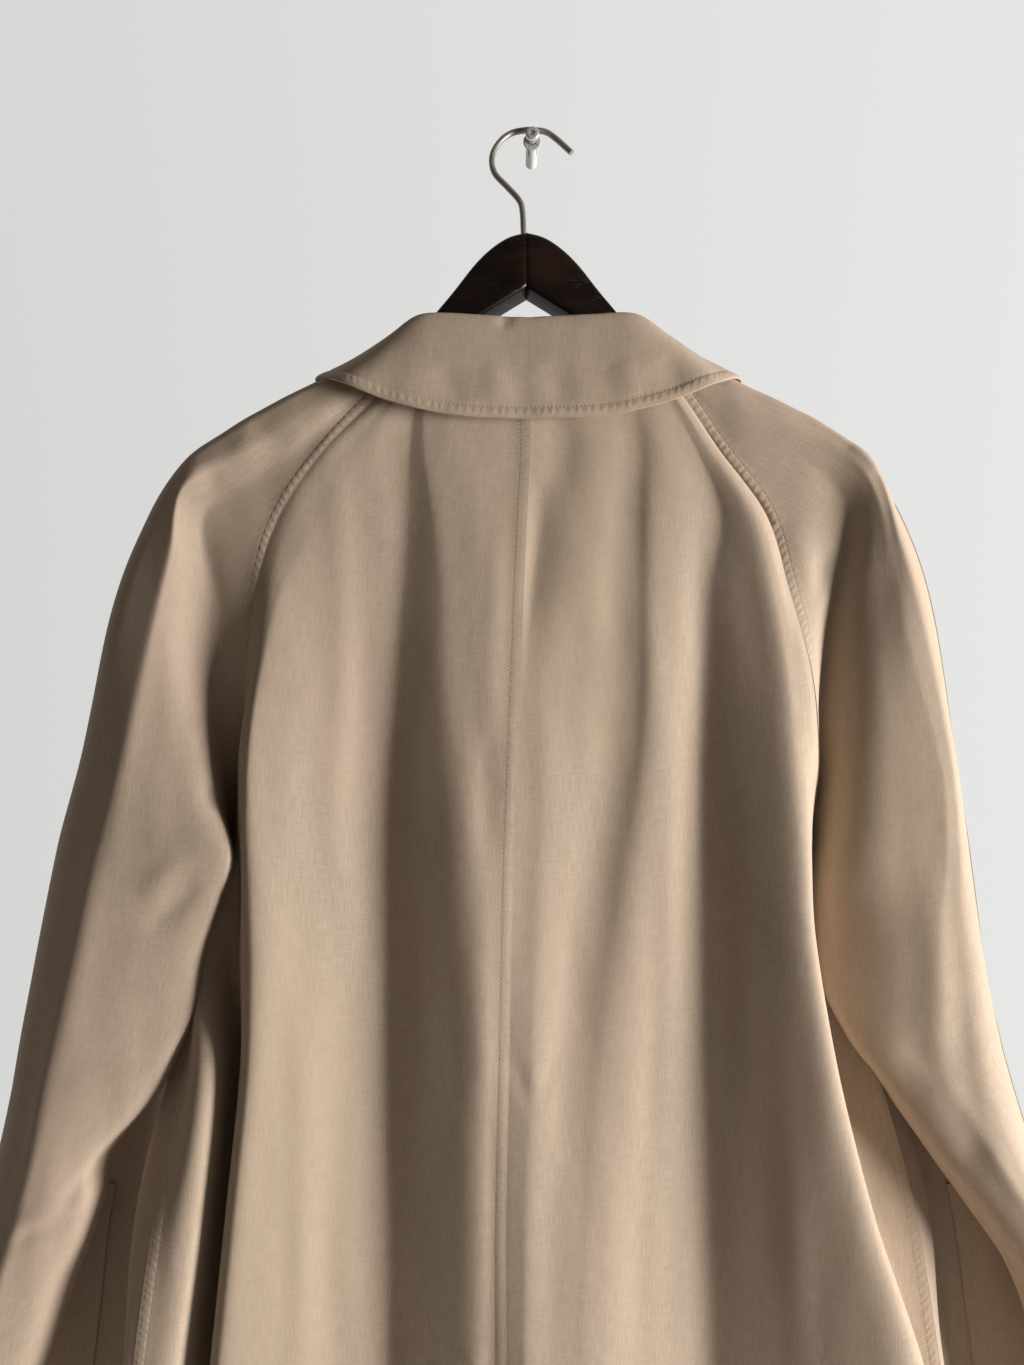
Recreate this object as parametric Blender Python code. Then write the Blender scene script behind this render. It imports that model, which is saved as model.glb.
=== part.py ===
import math

import bmesh
import bpy
from mathutils import Vector

# A raglan coat, seen from behind, on a contoured hanger whose hook hangs on a screw in the wall.
# +X is to the right, +Y goes into the wall and +Z is up. The coat's back faces -Y.
# The origin is the screw's axis at the wall plane.
# Lengths are in metres. The tables are in millimetres: x, how far off the wall, and z.

MM = 0.001
NAME = "coat_on_hanger"

CLOTH = 0.0016
LAY_GAP = 0.0003
SEAM_TRIM = 0.00026
COAT_CENTRE = -3.0
NECK = -165
UNDERARM = -460
SHOULDER_STATION = 4
LAST_STATION = 8
NECK_EASE = 1.1
BACK_NECK_REACH = -225
FRONT_NECK_REACH = -360
FRONT_NECK_POWER = 1.6
RIDGE_WRAP = 11.0
RIDGE_DROP = 1.5

HANGER_CENTRE = -4.5
HANGER_TILT = math.radians(16.5)
TILT_PIVOT_OFF = 35.0
TILT_PIVOT_Z = -94.0
HANGER_REACH = 206.0
HANGER_SWEEP = 44.0
SWEEP_POWER = 1.6
ARM_SIDES = 14
ARM_SQUARENESS = 0.85
MITRE_GAP = 0.15

WIRE_RADIUS = 0.002
WIRE_REST_OFF = 6.0
WIRE_REST_Z = 4.7

SCREW_HEAD_RADIUS = 0.0046
SCREW_HEAD_HEIGHT = 0.0028
SCREW_REACH = 0.0124
SCREW_SHANK_RADIUS = 0.0025
SCREW_DEPTH = 0.027
PLUG_COLLAR_RADIUS = 0.006
PLUG_COLLAR_HEIGHT = 0.0012
PLUG_RADIUS = 0.004
PLUG_BORE = 0.0028
PLUG_DEPTH = 0.03

ROLL_WIDTH = 0.0052
ROLL_RISE = 0.001
COLLAR_BELLY = 0.002
COLLAR_STEPS = 12
CURVE_STEPS = 6
SHARP_CLOTH = math.radians(50)
SHARP_HARD = math.radians(35)
STAND_SHORT = 0.003

BUTTON_RADIUS = 0.011
BUTTON_HEIGHT = 0.0035
BUTTON_LEVELS = (-310, -430, -550, -670, -790)
WELT_TOP = -690
WELT_BOTTOM = -860
WELT_LEFT_COLUMNS = slice(-6, -3)
WELT_RIGHT_COLUMNS = slice(2, 5)


class Table:
    # Rows of named columns. A dot stands where a column has no value.
    def __init__(self, text):
        lines = [line.split() for line in text.strip().splitlines()]
        self.names = lines[0]
        self.columns = {}
        for index, name in enumerate(self.names):
            pairs = []
            for line in lines[1:]:
                if line[index] != ".":
                    pairs.append((float(line[0]), float(line[index])))
            self.columns[name] = sorted(pairs)

    def at(self, name, level):
        # a smooth curve through the column's values; a seam may turn sharply at the underarm
        pairs = self.columns[name]
        if name == "seam":
            above = level >= UNDERARM
            pairs = [p for p in pairs if p[0] == UNDERARM or (p[0] > UNDERARM) == above]
        level = min(max(level, pairs[0][0]), pairs[-1][0])
        last = len(pairs) - 2
        k = 0
        while k < last and pairs[k + 1][0] < level:
            k += 1
        step = pairs[k + 1][0] - pairs[k][0]
        t = (level - pairs[k][0]) / step
        start = slope(pairs, k) * step
        end = slope(pairs, k + 1) * step
        a = pairs[k][1]
        b = pairs[k + 1][1]
        return (a * (1 + 2 * t) * (1 - t) ** 2 + start * t * (1 - t) ** 2
                + b * t * t * (3 - 2 * t) + end * t * t * (t - 1))


def slope(pairs, k):
    before = pairs[max(k - 1, 0)]
    after = pairs[min(k + 1, len(pairs) - 1)]
    return (after[1] - before[1]) / (after[0] - before[0])


# Where each fold line of the back runs (x) and how far it stands off the wall.
# "seam" is the raglan seam down to the underarm, and the side seam below it.
BACK_LEFT_X = Table("""
level  seam  ridge  gap   edge  valley  crest  centre
-165   -79   -73    -66   -59   -46     -27    -3
-190   -96   -91    -84   -76   -60     -36    -3
-225   -131  -123   -113  -102  -76     -52    -3
-265   -157  -149   -139  -127  -82     -57    -5
-310   -170  -163   -154  -143  -88     -54    -7
-360   -177  -174   -169  -160  -91     -49    -9
-410   -183  -181   -177  -169  -94     -44    -11
-460   -192  -187   -180  -170  -95     -41    -13
-520   -196  -191   -184  -171  -96     -40    -15
-600   -216  -211   -191  -174  -97     -39    -16
-690   -230  -222   -200  -181  -97     -39    -18
-780   -245  -235   -209  -189  -96     -39    -18
-880   -256  -246   -219  -198  -96     -39    -19
-1040  -274  -263   -236  -213  -98     -40    -21
-1205  -290  -279   -252  -228  -100    -41    -22
""")
BACK_LEFT_OFF = Table("""
level  seam  ridge  gap  edge  valley  crest  centre
-165   60    60     60   60    60      61     61
-190   62    63     64   65    64      66     66
-225   63    66     69   71    67      72     71
-265   65    70     74   78    69      79     77
-310   67    74     81   87    70      87     84
-360   68    77     88   96    71      94     90
-410   58    68     84   102   72      100    95
-460   44    54     76   104   73      104    98
-520   44    58     54   105   73      106    100
-600   54    70     50   105   74      107    101
-690   62    75     50   105   75      108    102
-780   64    76     51   105   76      108    103
-880   65    76     52   104   77      108    103
-1040  66    76     54   102   79      108    103
-1205  66    76     56   101   80      108    103
""")
BACK_RIGHT_X = Table("""
level  centre  crease  crestA  valleyB  crestB  valleyC  crestC  rim  edge  gap  seam
-165   -3      5       13      25       36      48       54      60   65    69   73
-190   -3      9       22      38       50      66       73      79   84    88   91
-225   -3      15      37      59       75      95       102     107  110   113  116
-265   -5      7       35      59       76      108      120     128  134   139  144
-310   -7      0       26      53       74      105      128     138  146   151  156
-360   -9      -3      17      46       71      103      135     147  156   162  167
-410   -11     -4      12      41       69      102      137     152  162  168  172
-460   -13     -6      8       37       67      102      139     156  164   169  178
-520   -15     -8      4       34       65      102      141     159  167   168  183
-600   -16     -10     1       30       60      102      145     168  181   178  212
-690   -18     -12     -3      24       51      103      151     185  204   200  237
-780   -18     -12     -6      18       44      105      157     204  233   230  254
-880   -19     -13     -8      14       41      106      162     213  246   243  268
-1040  -21     -15     -10     12       38      109      170     226  263   260  286
-1205  -22     -16     -11     11       37      112      178     240  279   276  304
""")
BACK_RIGHT_OFF = Table("""
level  centre  crease  crestA  valleyB  crestB  valleyC  crestC  rim  edge  gap  seam
-165   61      61      61      60       60      60       60      60   60    60   60
-190   66      64      67      66       67      66       66      65   64    63   62
-225   71      67      74      71       74      70       72      70   68    66   63
-265   77      72      82      77       81      72       80      77   74    70   65
-310   84      78      90      83       88      73       89      86   81    74   67
-360   90      85      97      89       94      74       97      94   89    77   68
-410   95      90      102     94       99      75       103     100  95    78   58
-460   98      94      105     97       102     75       107     103  97    76   44
-520   100     97      107     99       104     76       110     105  98    56   44
-600   101     98      108     100      105     77       111     107  99    54   56
-690   102     99      108     101      105     78       111     110  101   58   64
-780   103     100     108     101      105     79       111     112  103   64   68
-880   103     100     108     101      105     80       111     112  104   66   70
-1040  103     100     108     102      105     82       110     111  104   66   70
-1205  103     100     108     102      105     84       110     110  103   66   70
""")

# The same for each front, from its raglan and side seam to its buttoned edge.
FRONT_LEFT_X = Table("""
level  seam   fold   turn   wall   waveA  waveB  strip  middle  edge
-165   -77    -74    -70    -61    -47    -33    -20    -3     18
-190   -94    -90    -84    -72    -53    -35    -20    -3     18
-225   -128   -121   -112   -92    -64    -39    -20    -3     18
-265   -154   -147   -136   -112   -75    -43    -20    -3     18
-310   -170   -164   -153   -127   -85    -47    -20    -3     18
-360   -180   -176   -167   -140   -94    -50    -20    -3     18
-410   -187   -184   -177   -152   -101   -53    -20    -3     18
-460   -192   -191   -187   -166   -108   -56    -20    -3     18
-520   -196   -204   -212   -197   -120   -60    -20    -3     18
-600   -216   -229   -252   -236   -138   -66    -20    -3     18
-690   -230   -249   -300   -282   -154   -70    -20    -3     18
-780   -245   -255   -324   -305   -164   -73    -20    -3     18
-880   -256   -267   -333   -314   -170   -75    -20    -3     18
-1040  -274   -285   -342   -323   -178   -78    -20    -3     18
-1205  -290   -302   -352   -333   -186   -81    -20    -3     18
""")
FRONT_LEFT_OFF = Table("""
level  seam   fold   turn   wall   waveA  waveB  strip  middle  edge
-165   30     29     28     26     23     21     18     18     18
-190   27     26     25     24     23     20     17     17     17
-225   25     24     24     23     23     19     17     17     17
-265   25     23     22     21     23     18     17     17     17
-310   26     23     21     20     24     17     17     17     17
-360   28     25     21     18     25     16     17     17     17
-410   32     28     23     17     26     15     17     17     17
-460   44     38     29     16     26     14     17     17     17
-520   44     38     28     14     27     14     17     17     17
-600   54     47     28     13     28     13     17     17     17
-690   62     59     32     12     29     13     17     17     17
-780   64     61     35     12     29     13     17     17     17
-880   65     61     37     12     29     13     17     17     17
-1040  66     61     38     12     29     13     17     17     17
-1205  66     61     38     12     29     13     17     17     17
""")
FRONT_RIGHT_X = Table("""
level  seam   fold   turn   wall   waveA  waveB  strip  middle  edge
-165   71     68     64     56     43     30     17     -3     -22
-190   89     85     79     67     48     31     17     -3     -22
-225   119    113    104    86     58     34     17     -3     -22
-265   143    137    127    105    69     37     17     -3     -22
-310   157    152    142    119    78     40     17     -3     -22
-360   167    163    155    131    86     43     17     -3     -22
-410   172    169    163    141    93     46     17     -3     -22
-460   178    176    171    151    99     48     17     -3     -22
-520   183    190    197    181    110    52     17     -3     -22
-600   212    222    242    224    128    58     17     -3     -22
-690   237    253    298    280    148    62     17     -3     -22
-780   254    266    320    301    158    65     17     -3     -22
-880   268    280    330    311    165    67     17     -3     -22
-1040  286    298    342    323    173    70     17     -3     -22
-1205  304    316    354    335    181    73     17     -3     -22
""")
FRONT_RIGHT_OFF = Table("""
level  seam   fold   turn   wall   waveA  waveB  strip  middle  edge
-165   30     29     28     26     23     22     21     21     21
-190   27     26     25     24     22     22     21     21     21
-225   25     24     24     22     21     22     21     21     21
-265   25     23     22     20     19     22     21     21     21
-310   26     23     21     18     18     23     21     21     21
-360   28     25     21     17     17     24     21     21     21
-410   32     28     22     16     16     25     21     21     21
-460   44     38     29     15     16     26     21     21     21
-520   44     38     27     14     15     27     21     21     21
-600   56     47     28     13     14     28     21     21     21
-690   64     56     31     12     14     29     21     21     21
-780   68     60     34     12     14     29     21     21     21
-880   70     62     38     12     14     29     21     21     21
-1040  70     62     38     12     14     29     21     21     21
-1205  70     62     38     12     14     29     21     21     21
""")

# Each sleeve hangs from a ridge over the hanger's arm. "crest" is the fold nearest the camera,
# "wall" the one nearest the wall, and "inner" the underarm seam.
SLEEVE_LEFT = Table("""
level  crestX crestOff crestZ ridgeX ridgeOff ridgeZ wallX wallOff wallZ innerX innerOff
-165   -85    52.2     -162   -89    42       -160   -84   34      -165  .      .
-190   -108   61       -178   -116   41       -169   -108  31      -179  .      .
-225   -140   66       -201   -150   37       -184   -142  23      -203  .      .
-265   -174   68       -227   -187   34       -204   -179  19      -230  .      .
-310   -203   71       -258   -219   31       -222   -213  16      -260  .      .
-360   -227   77       -300   -246   35       -261   -241  17      -304  .      .
-410   -243   86       -355   -267   39       -316   -262  15      -353  .      .
-460   -256   92       -430   -288   41       -408   -281  14      -430  -192   44
-520   -275   95       -510   -310   42       -500   -303  14      -505  -200   56
-590   -292   95       -590   -326   42       -590   -318  14      -590  -219   60
-660   -307   94       -660   -339   42       -660   -331  15      -660  -257   60
-730   -322   92       -730   -366   42       -730   -357  15      -730  -291   60
-800   -343   90       -800   -394   42       -800   -385  15      -800  -314   60
-870   -365   88       -870   -422   42       -870   -413  15      -870  -336   60
""")
SLEEVE_RIGHT = Table("""
level  crestX crestOff crestZ ridgeX ridgeOff ridgeZ wallX wallOff wallZ innerX innerOff
-165   76     52       -162   80     42       -160   75    34      -165  .      .
-190   99     61       -178   108    41       -168   99    31      -179  .      .
-225   131    66       -201   142    37       -182.5 134   23      -202  .      .
-265   166    68       -227   181    34       -202   173   19      -229  .      .
-310   196    71       -258   213    31       -221   207   16      -260  .      .
-360   219    77       -300   238    35       -261   233   17      -304  .      .
-410   235    86       -355   256    39       -316   250   15      -353  .      .
-460   248    92       -430   270    41       -408   264   14      -430  178    44
-520   262    94       -510   283    42       -500   277   14      -505  185    56
-590   274    94       -590   298    42       -590   291   14      -590  200    60
-660   290    93       -660   318    42       -660   310   15      -660  248    60
-730   316    92       -730   348    42       -730   339   15      -730  295    60
-800   341    90       -800   378    42       -800   369   15      -800  322    60
-870   365    88       -870   406    42       -870   397   15      -870  346    60
""")

# The collar from the centre back, round one side, to the centre front. "facing" is the way that
# the fall looks: 0 is towards the camera and 180 towards the wall. x is from the coat's centre.
COLLAR = Table("""
station facing seamX seamOff seamZ foldX foldOff foldZ edgeX edgeOff edgeZ
0       0      0     61      -168  0     60      -139  0     75      -208
1       0      34    61      -167  36    60      -139  45    75      -206
2       8      66    60      -164  66    59      -140  85    74      -197
3       50     80    56      -160  82    54      -150  118   71      -183
4       90     87    42      -159.6 93    42      -156  137   42      -173.5
5       120    83    34      -160  90    32      -158  134   20      -181
6       155    71    27      -171  82    23      -167  118   16      -209
7       175    48    22      -191  58    18      -181  97    12      -237
8       180    4     19      -213  4     16      -198  58    12      -266
""")

# One arm of the hanger, from the mitre to the tip. x is from the hanger's centre.
HANGER = Table("""
x    top    bottom  thick
0    -76    -117.5  18
12   -79.5  -124    18
24   -88    -132    18
34   -99    -139.5  18
46   -115.5 -148.5  17.5
60   -134   -158    17
74   -155   -178    16
88   -169.5 -192    15
116  -179.5 -203    15
150  -190.5 -214    15
180  -208   -230    14.5
198  -218   -236.5  13.5
206  -224.5 -234.5  9
""")

# The hook's centre line in the hanger's plane, from the wood to its free end.
HOOK = ((-6.0, -75.6), (-6.7, -59.8), (-8.7, -50.6), (-16.8, -39.9), (-24.4, -30.6), (-27.1, -21.9),
        (-26.1, -12.5), (-21.1, -3.4), (-13.7, 2.6), (-4.4, 4.9), (1.2, 4.7), (9.0, 3.5),
        (16.0, -2.0), (26.3, -13.1))

BODY_LEVELS = (-165, -190, -208, -226, -245, -265, -287, -310, -335, -360, -385, -410, -436, -460,
               -490, -520, -560, -600, -645, -690, -735, -790, -860, -940, -1020, -1110, -1205)
SLEEVE_LEVELS = BODY_LEVELS[:14] + (-490, -520, -555, -590, -625, -660, -695, -730, -800, -870)

# How far each fold is rounded, as a share of the cloth on either side, and the cells up to it.
BACK_LEFT_FOLDS = Table("""
order  round  cells
0      0      0
1      0.35   2
2      0.3    2
3      0.45   3
4      0.18   3
5      0.5    2
6      0      2
""")
BACK_RIGHT_FOLDS = Table("""
order  round  cells
0      0      0
1      0.3    1
2      0.5    2
3      0.4    2
4      0.5    2
5      0.15   2
6      0.45   3
7      0.5    2
8      0.4    2
9      0.3    3
10     0      2
""")
FRONT_FOLDS = Table("""
order  round  cells
0      0      0
1      0.35   1
2      0.45   2
3      0.45   2
4      0.5    3
5      0.5    2
6      0.2    1
7      0      1
8      0      1
""")
SLEEVE_BACK_FOLDS = Table("""
order  round  cells
0      0      0
1      0.35   4
2      0.4    2
3      0      1
""")
SLEEVE_FRONT_FOLDS = Table("""
order  round  cells
0      0      0
1      0.4    1
2      0.4    2
3      0      4
""")
STAND_FOLDS = Table("""
order  round  cells
0      0      0
1      0      2
""")
FALL_FOLDS = Table("""
order  round  cells
0      0      0
1      0.3    1
2      0.5    2
3      0      3
""")


def clear_scene():
    for item in list(bpy.data.objects):
        bpy.data.objects.remove(item, do_unlink=True)


def make_material(name, colour, roughness, metallic=0.0):
    material = bpy.data.materials.new(name)
    material.use_nodes = True
    shader = material.node_tree.nodes["Principled BSDF"]
    shader.inputs["Base Color"].default_value = (*colour, 1.0)
    shader.inputs["Roughness"].default_value = roughness
    shader.inputs["Metallic"].default_value = metallic
    material.diffuse_color = (*colour, 1.0)
    return material


def add_object(name, mesh, material, collection):
    piece = bpy.data.objects.new(name, mesh)
    mesh.materials.clear()
    mesh.materials.append(material)
    collection.objects.link(piece)
    return piece


def point(x, off, z):
    return Vector((x, -off, z)) * MM


def bend(before, corner, after, t):
    return before * (1 - t) ** 2 + corner * (2 * t * (1 - t)) + after * t * t


def even_steps(path, cells):
    lengths = [0.0]
    for a, b in zip(path, path[1:]):
        lengths.append(lengths[-1] + (b - a).length)
    steps = []
    k = 0
    for index in range(cells + 1):
        target = lengths[-1] * index / cells
        while k < len(path) - 2 and lengths[k + 1] < target:
            k += 1
        share = (target - lengths[k]) / max(lengths[k + 1] - lengths[k], 1e-9)
        steps.append(path[k].lerp(path[k + 1], min(max(share, 0.0), 1.0)))
    return steps


def rounded_row(corners, folds):
    # straight flanks between the corners, with each corner rounded off
    last = len(corners) - 1
    row = [corners[0]]
    for k in range(last):
        a = corners[k]
        b = corners[k + 1]
        round_a = folds.at("round", k)
        round_b = folds.at("round", k + 1)
        path = [a]
        if round_a > 0:
            before = a.lerp(corners[k - 1], round_a)
            after = a.lerp(b, round_a)
            path = [bend(before, a, after, 0.5 + i / 2 / CURVE_STEPS) for i in range(CURVE_STEPS + 1)]
        if round_b > 0:
            before = b.lerp(a, round_b)
            after = b.lerp(corners[k + 2], round_b)
            path += [bend(before, b, after, i / 2 / CURVE_STEPS) for i in range(CURVE_STEPS + 1)]
        else:
            path.append(b)
        row += even_steps(path, int(round(folds.at("cells", k + 1))))[1:]
    return row


def fade(level, low):
    return min(max((level - low) / (NECK - low), 0.0), 1.0)


def neck_seam(x, stations):
    # the height of the collar's seam at x, found between the centre's station and the shoulder's
    near, far = stations
    reach = abs(x - COAT_CENTRE)
    for _ in range(24):
        middle = (near + far) / 2
        if COLLAR.at("seamX", middle) < reach:
            near = middle
        else:
            far = middle
    return COLLAR.at("seamZ", middle) - NECK_EASE


def back_neck_shift(x, level):
    return (neck_seam(x, (0, SHOULDER_STATION)) - NECK) * fade(level, BACK_NECK_REACH)


def front_neck_shift(x, level):
    share = fade(level, FRONT_NECK_REACH) ** FRONT_NECK_POWER
    return (neck_seam(x, (LAST_STATION, SHOULDER_STATION)) - NECK) * share


def panel_rows(x_table, off_table, folds, neck_shift, levels):
    rows = []
    for level in levels:
        corners = []
        for name in x_table.names[1:]:
            x = x_table.at(name, level)
            z = level + neck_shift(x, level)
            corners.append(point(x, off_table.at(name, level), z))
        rows.append(rounded_row(corners, folds))
    return rows


def ridge_sides(table, level, side):
    # the cloth lies rounded over the ridge: a corner on each side of it
    here = Vector([table.at("ridge" + part, level) for part in ("X", "Off", "Z")])
    lower = table.at("ridgeX", level - 8), table.at("ridgeZ", level - 8)
    upper = table.at("ridgeX", level + 8), table.at("ridgeZ", level + 8)
    run = Vector((lower[0] - upper[0], lower[1] - upper[1])).normalized()
    drop = Vector((-side * run.y, 0.0, side * run.x)) * RIDGE_DROP
    wrap = Vector((0.0, RIDGE_WRAP, 0.0))
    return point(*(here - drop + wrap)), point(*(here - drop - wrap))


def sleeve_corners(table, x_back, off_back, x_front, off_front, level, side):
    places = {}
    for name in ("crest", "ridge", "wall"):
        places[name] = point(*[table.at(name + part, level) for part in ("X", "Off", "Z")])
    places["near"], places["far"] = ridge_sides(table, level, side)
    if level > UNDERARM:
        x = x_back.at("seam", level)
        places["back"] = point(x, off_back.at("seam", level), level + back_neck_shift(x, level))
        x = x_front.at("seam", level)
        places["front"] = point(x, off_front.at("seam", level), level + front_neck_shift(x, level))
    else:
        places["back"] = point(table.at("innerX", level), table.at("innerOff", level), level)
        places["front"] = places["back"]
    return places


def sleeve_rows(table, x_back, off_back, x_front, off_front, side):
    back = []
    front = []
    for level in SLEEVE_LEVELS:
        places = sleeve_corners(table, x_back, off_back, x_front, off_front, level, side)
        back.append(rounded_row([places[name] for name in ("back", "crest", "near", "ridge")],
                                SLEEVE_BACK_FOLDS))
        front.append(rounded_row([places[name] for name in ("ridge", "far", "wall", "front")],
                                 SLEEVE_FRONT_FOLDS))
    return back, front


def reversed_rows(rows):
    return [list(reversed(row)) for row in rows]


class Panel:
    # A grid of points: rows run down the coat, and each row runs anticlockwise round it from above.
    def __init__(self, rows):
        self.rows = rows
        self.normals = [[self.normal(r, c) for c in range(len(rows[0]))] for r in range(len(rows))]

    def normal(self, r, c):
        rows = self.rows
        last_row = len(rows) - 1
        last_col = len(rows[0]) - 1
        down = rows[min(r + 1, last_row)][c] - rows[max(r - 1, 0)][c]
        along = rows[r][min(c + 1, last_col)] - rows[r][max(c - 1, 0)]
        return down.cross(along).normalized()

    def inset(self, sides):
        # draws each named edge back, which leaves a gap of about 0.3 mm at a seam
        for row in self.rows:
            if "start" in sides:
                row[0] = row[0] + (row[1] - row[0]).normalized() * SEAM_TRIM
            if "end" in sides:
                row[-1] = row[-1] + (row[-2] - row[-1]).normalized() * SEAM_TRIM
        if "top" in sides:
            for c, p in enumerate(self.rows[0]):
                self.rows[0][c] = p + (self.rows[1][c] - p).normalized() * SEAM_TRIM
        if "bottom" in sides:
            for c, p in enumerate(self.rows[-1]):
                self.rows[-1][c] = p + (self.rows[-2][c] - p).normalized() * SEAM_TRIM

    def wall(self, name, material, collection, thickness=CLOTH):
        bm = bmesh.new()
        outer = [[bm.verts.new(p) for p in row] for row in self.rows]
        inner = [[bm.verts.new(p - n * thickness) for p, n in zip(row, normals)]
                 for row, normals in zip(self.rows, self.normals)]
        last_row = len(outer) - 1
        last_col = len(outer[0]) - 1
        for r in range(last_row):
            for c in range(last_col):
                bm.faces.new((outer[r][c], outer[r + 1][c], outer[r + 1][c + 1], outer[r][c + 1]))
                bm.faces.new((inner[r][c], inner[r][c + 1], inner[r + 1][c + 1], inner[r + 1][c]))
        for r in range(last_row):
            bm.faces.new((outer[r][0], inner[r][0], inner[r + 1][0], outer[r + 1][0]))
            bm.faces.new((outer[r][-1], outer[r + 1][-1], inner[r + 1][-1], inner[r][-1]))
        for c in range(last_col):
            bm.faces.new((outer[0][c], outer[0][c + 1], inner[0][c + 1], inner[0][c]))
            bm.faces.new((outer[-1][c], inner[-1][c], inner[-1][c + 1], outer[-1][c + 1]))
        mesh = bpy.data.meshes.new(name)
        bm.to_mesh(mesh)
        bm.free()
        mesh.shade_smooth()
        mesh.set_sharp_from_angle(angle=SHARP_CLOTH)
        return add_object(name, mesh, material, collection)


def share_normals(one, one_col, other, other_col, rows):
    for r in rows:
        common = (one.normals[r][one_col] + other.normals[r][other_col]).normalized()
        one.normals[r][one_col] = common
        other.normals[r][other_col] = common


def make_coat(collection, cloth):
    panels = {}
    panels["back_left"] = Panel(panel_rows(BACK_LEFT_X, BACK_LEFT_OFF, BACK_LEFT_FOLDS,
                                           back_neck_shift, BODY_LEVELS))
    panels["back_right"] = Panel(panel_rows(BACK_RIGHT_X, BACK_RIGHT_OFF, BACK_RIGHT_FOLDS,
                                            back_neck_shift, BODY_LEVELS))
    panels["front_left"] = Panel(reversed_rows(panel_rows(FRONT_LEFT_X, FRONT_LEFT_OFF, FRONT_FOLDS,
                                                          front_neck_shift, BODY_LEVELS)))
    panels["front_right"] = Panel(panel_rows(FRONT_RIGHT_X, FRONT_RIGHT_OFF, FRONT_FOLDS,
                                             front_neck_shift, BODY_LEVELS))
    back, front = sleeve_rows(SLEEVE_LEFT, BACK_LEFT_X, BACK_LEFT_OFF,
                              FRONT_LEFT_X, FRONT_LEFT_OFF, -1)
    panels["sleeve_back_left"] = Panel(reversed_rows(back))
    panels["sleeve_front_left"] = Panel(reversed_rows(front))
    back, front = sleeve_rows(SLEEVE_RIGHT, BACK_RIGHT_X, BACK_RIGHT_OFF,
                              FRONT_RIGHT_X, FRONT_RIGHT_OFF, 1)
    panels["sleeve_back_right"] = Panel(back)
    panels["sleeve_front_right"] = Panel(front)

    underarm = BODY_LEVELS.index(UNDERARM)
    raglan = range(underarm)
    side = range(underarm, len(BODY_LEVELS))
    arm = range(underarm, len(SLEEVE_LEVELS))
    joins = (
        ("back_left", -1, "back_right", 0, range(len(BODY_LEVELS))),
        ("sleeve_back_left", -1, "back_left", 0, raglan),
        ("back_right", -1, "sleeve_back_right", 0, raglan),
        ("sleeve_front_right", -1, "front_right", 0, raglan),
        ("front_left", -1, "sleeve_front_left", 0, raglan),
        ("sleeve_front_left", -1, "sleeve_back_left", 0, range(len(SLEEVE_LEVELS))),
        ("sleeve_back_right", -1, "sleeve_front_right", 0, range(len(SLEEVE_LEVELS))),
        ("sleeve_back_left", -1, "sleeve_front_left", 0, arm),
        ("sleeve_front_right", -1, "sleeve_back_right", 0, arm),
        ("front_left", -1, "back_left", 0, side),
        ("back_right", -1, "front_right", 0, side),
    )
    for one, one_col, other, other_col, rows in joins:
        share_normals(panels[one], one_col, panels[other], other_col, rows)

    open_edge = {"front_left": ("end", "top"), "front_right": ("start", "top")}
    for name, panel in panels.items():
        panel.inset(open_edge.get(name, ("start", "end", "top")))
        panel.wall(name, cloth, collection)
    return panels


def make_welts(panels, collection, cloth):
    # each welt lies on its front, made from the panel's own points moved out
    spans = (("pocket_welt_left", "front_left", WELT_LEFT_COLUMNS),
             ("pocket_welt_right", "front_right", WELT_RIGHT_COLUMNS))
    for name, source, columns in spans:
        panel = panels[source]
        rows = []
        normals = []
        for r in range(BODY_LEVELS.index(WELT_TOP), BODY_LEVELS.index(WELT_BOTTOM) + 1):
            normals.append(panel.normals[r][columns])
            rows.append([p + n * (CLOTH + LAY_GAP)
                         for p, n in zip(panel.rows[r][columns], normals[-1])])
        welt = Panel(rows)
        welt.normals = normals
        welt.wall(name, cloth, collection)


def collar_station(station, side):
    values = {name: COLLAR.at(name, station) for name in COLLAR.names[1:]}
    facing = math.radians(values["facing"])
    outward = Vector((side * math.sin(facing), -math.cos(facing), 0.0))
    places = []
    for name in ("seam", "fold", "edge"):
        x = COAT_CENTRE + side * values[name + "X"]
        places.append(point(x, values[name + "Off"], values[name + "Z"]))
    seam, fold, edge = places
    over = fold + outward * ROLL_WIDTH
    lift = Vector((0.0, 0.0, ROLL_RISE))
    belly = over.lerp(edge, 0.5) + outward * COLLAR_BELLY * abs(math.cos(facing))
    return [seam, fold + lift, over + lift, belly, edge]


def make_collar(collection, cloth):
    steps = [LAST_STATION * k / COLLAR_STEPS for k in range(COLLAR_STEPS + 1)]
    ring = [(s, -1) for s in reversed(steps)] + [(s, 1) for s in steps[1:]]
    stand = []
    fall = []
    for station, side in ring:
        seam, fold, over, belly, edge = collar_station(station, side)
        top = fold + (seam - fold).normalized() * STAND_SHORT
        stand.append(rounded_row([seam, top], STAND_FOLDS))
        fall.append(rounded_row([fold, over, belly, edge], FALL_FOLDS))
    for name, columns in (("collar_stand", stand), ("collar_fall", fall)):
        rows = [list(row) for row in zip(*columns)]
        if name == "collar_stand":
            rows = list(reversed(rows))
        panel = Panel(rows)
        panel.inset(("top", "bottom") if name == "collar_stand" else ("top",))
        panel.wall(name, cloth, collection)


def hanger_off(z, x):
    sweep = HANGER_SWEEP * (abs(x) / HANGER_REACH) ** SWEEP_POWER
    return TILT_PIVOT_OFF + (TILT_PIVOT_Z - z) * math.tan(HANGER_TILT) - sweep


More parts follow.
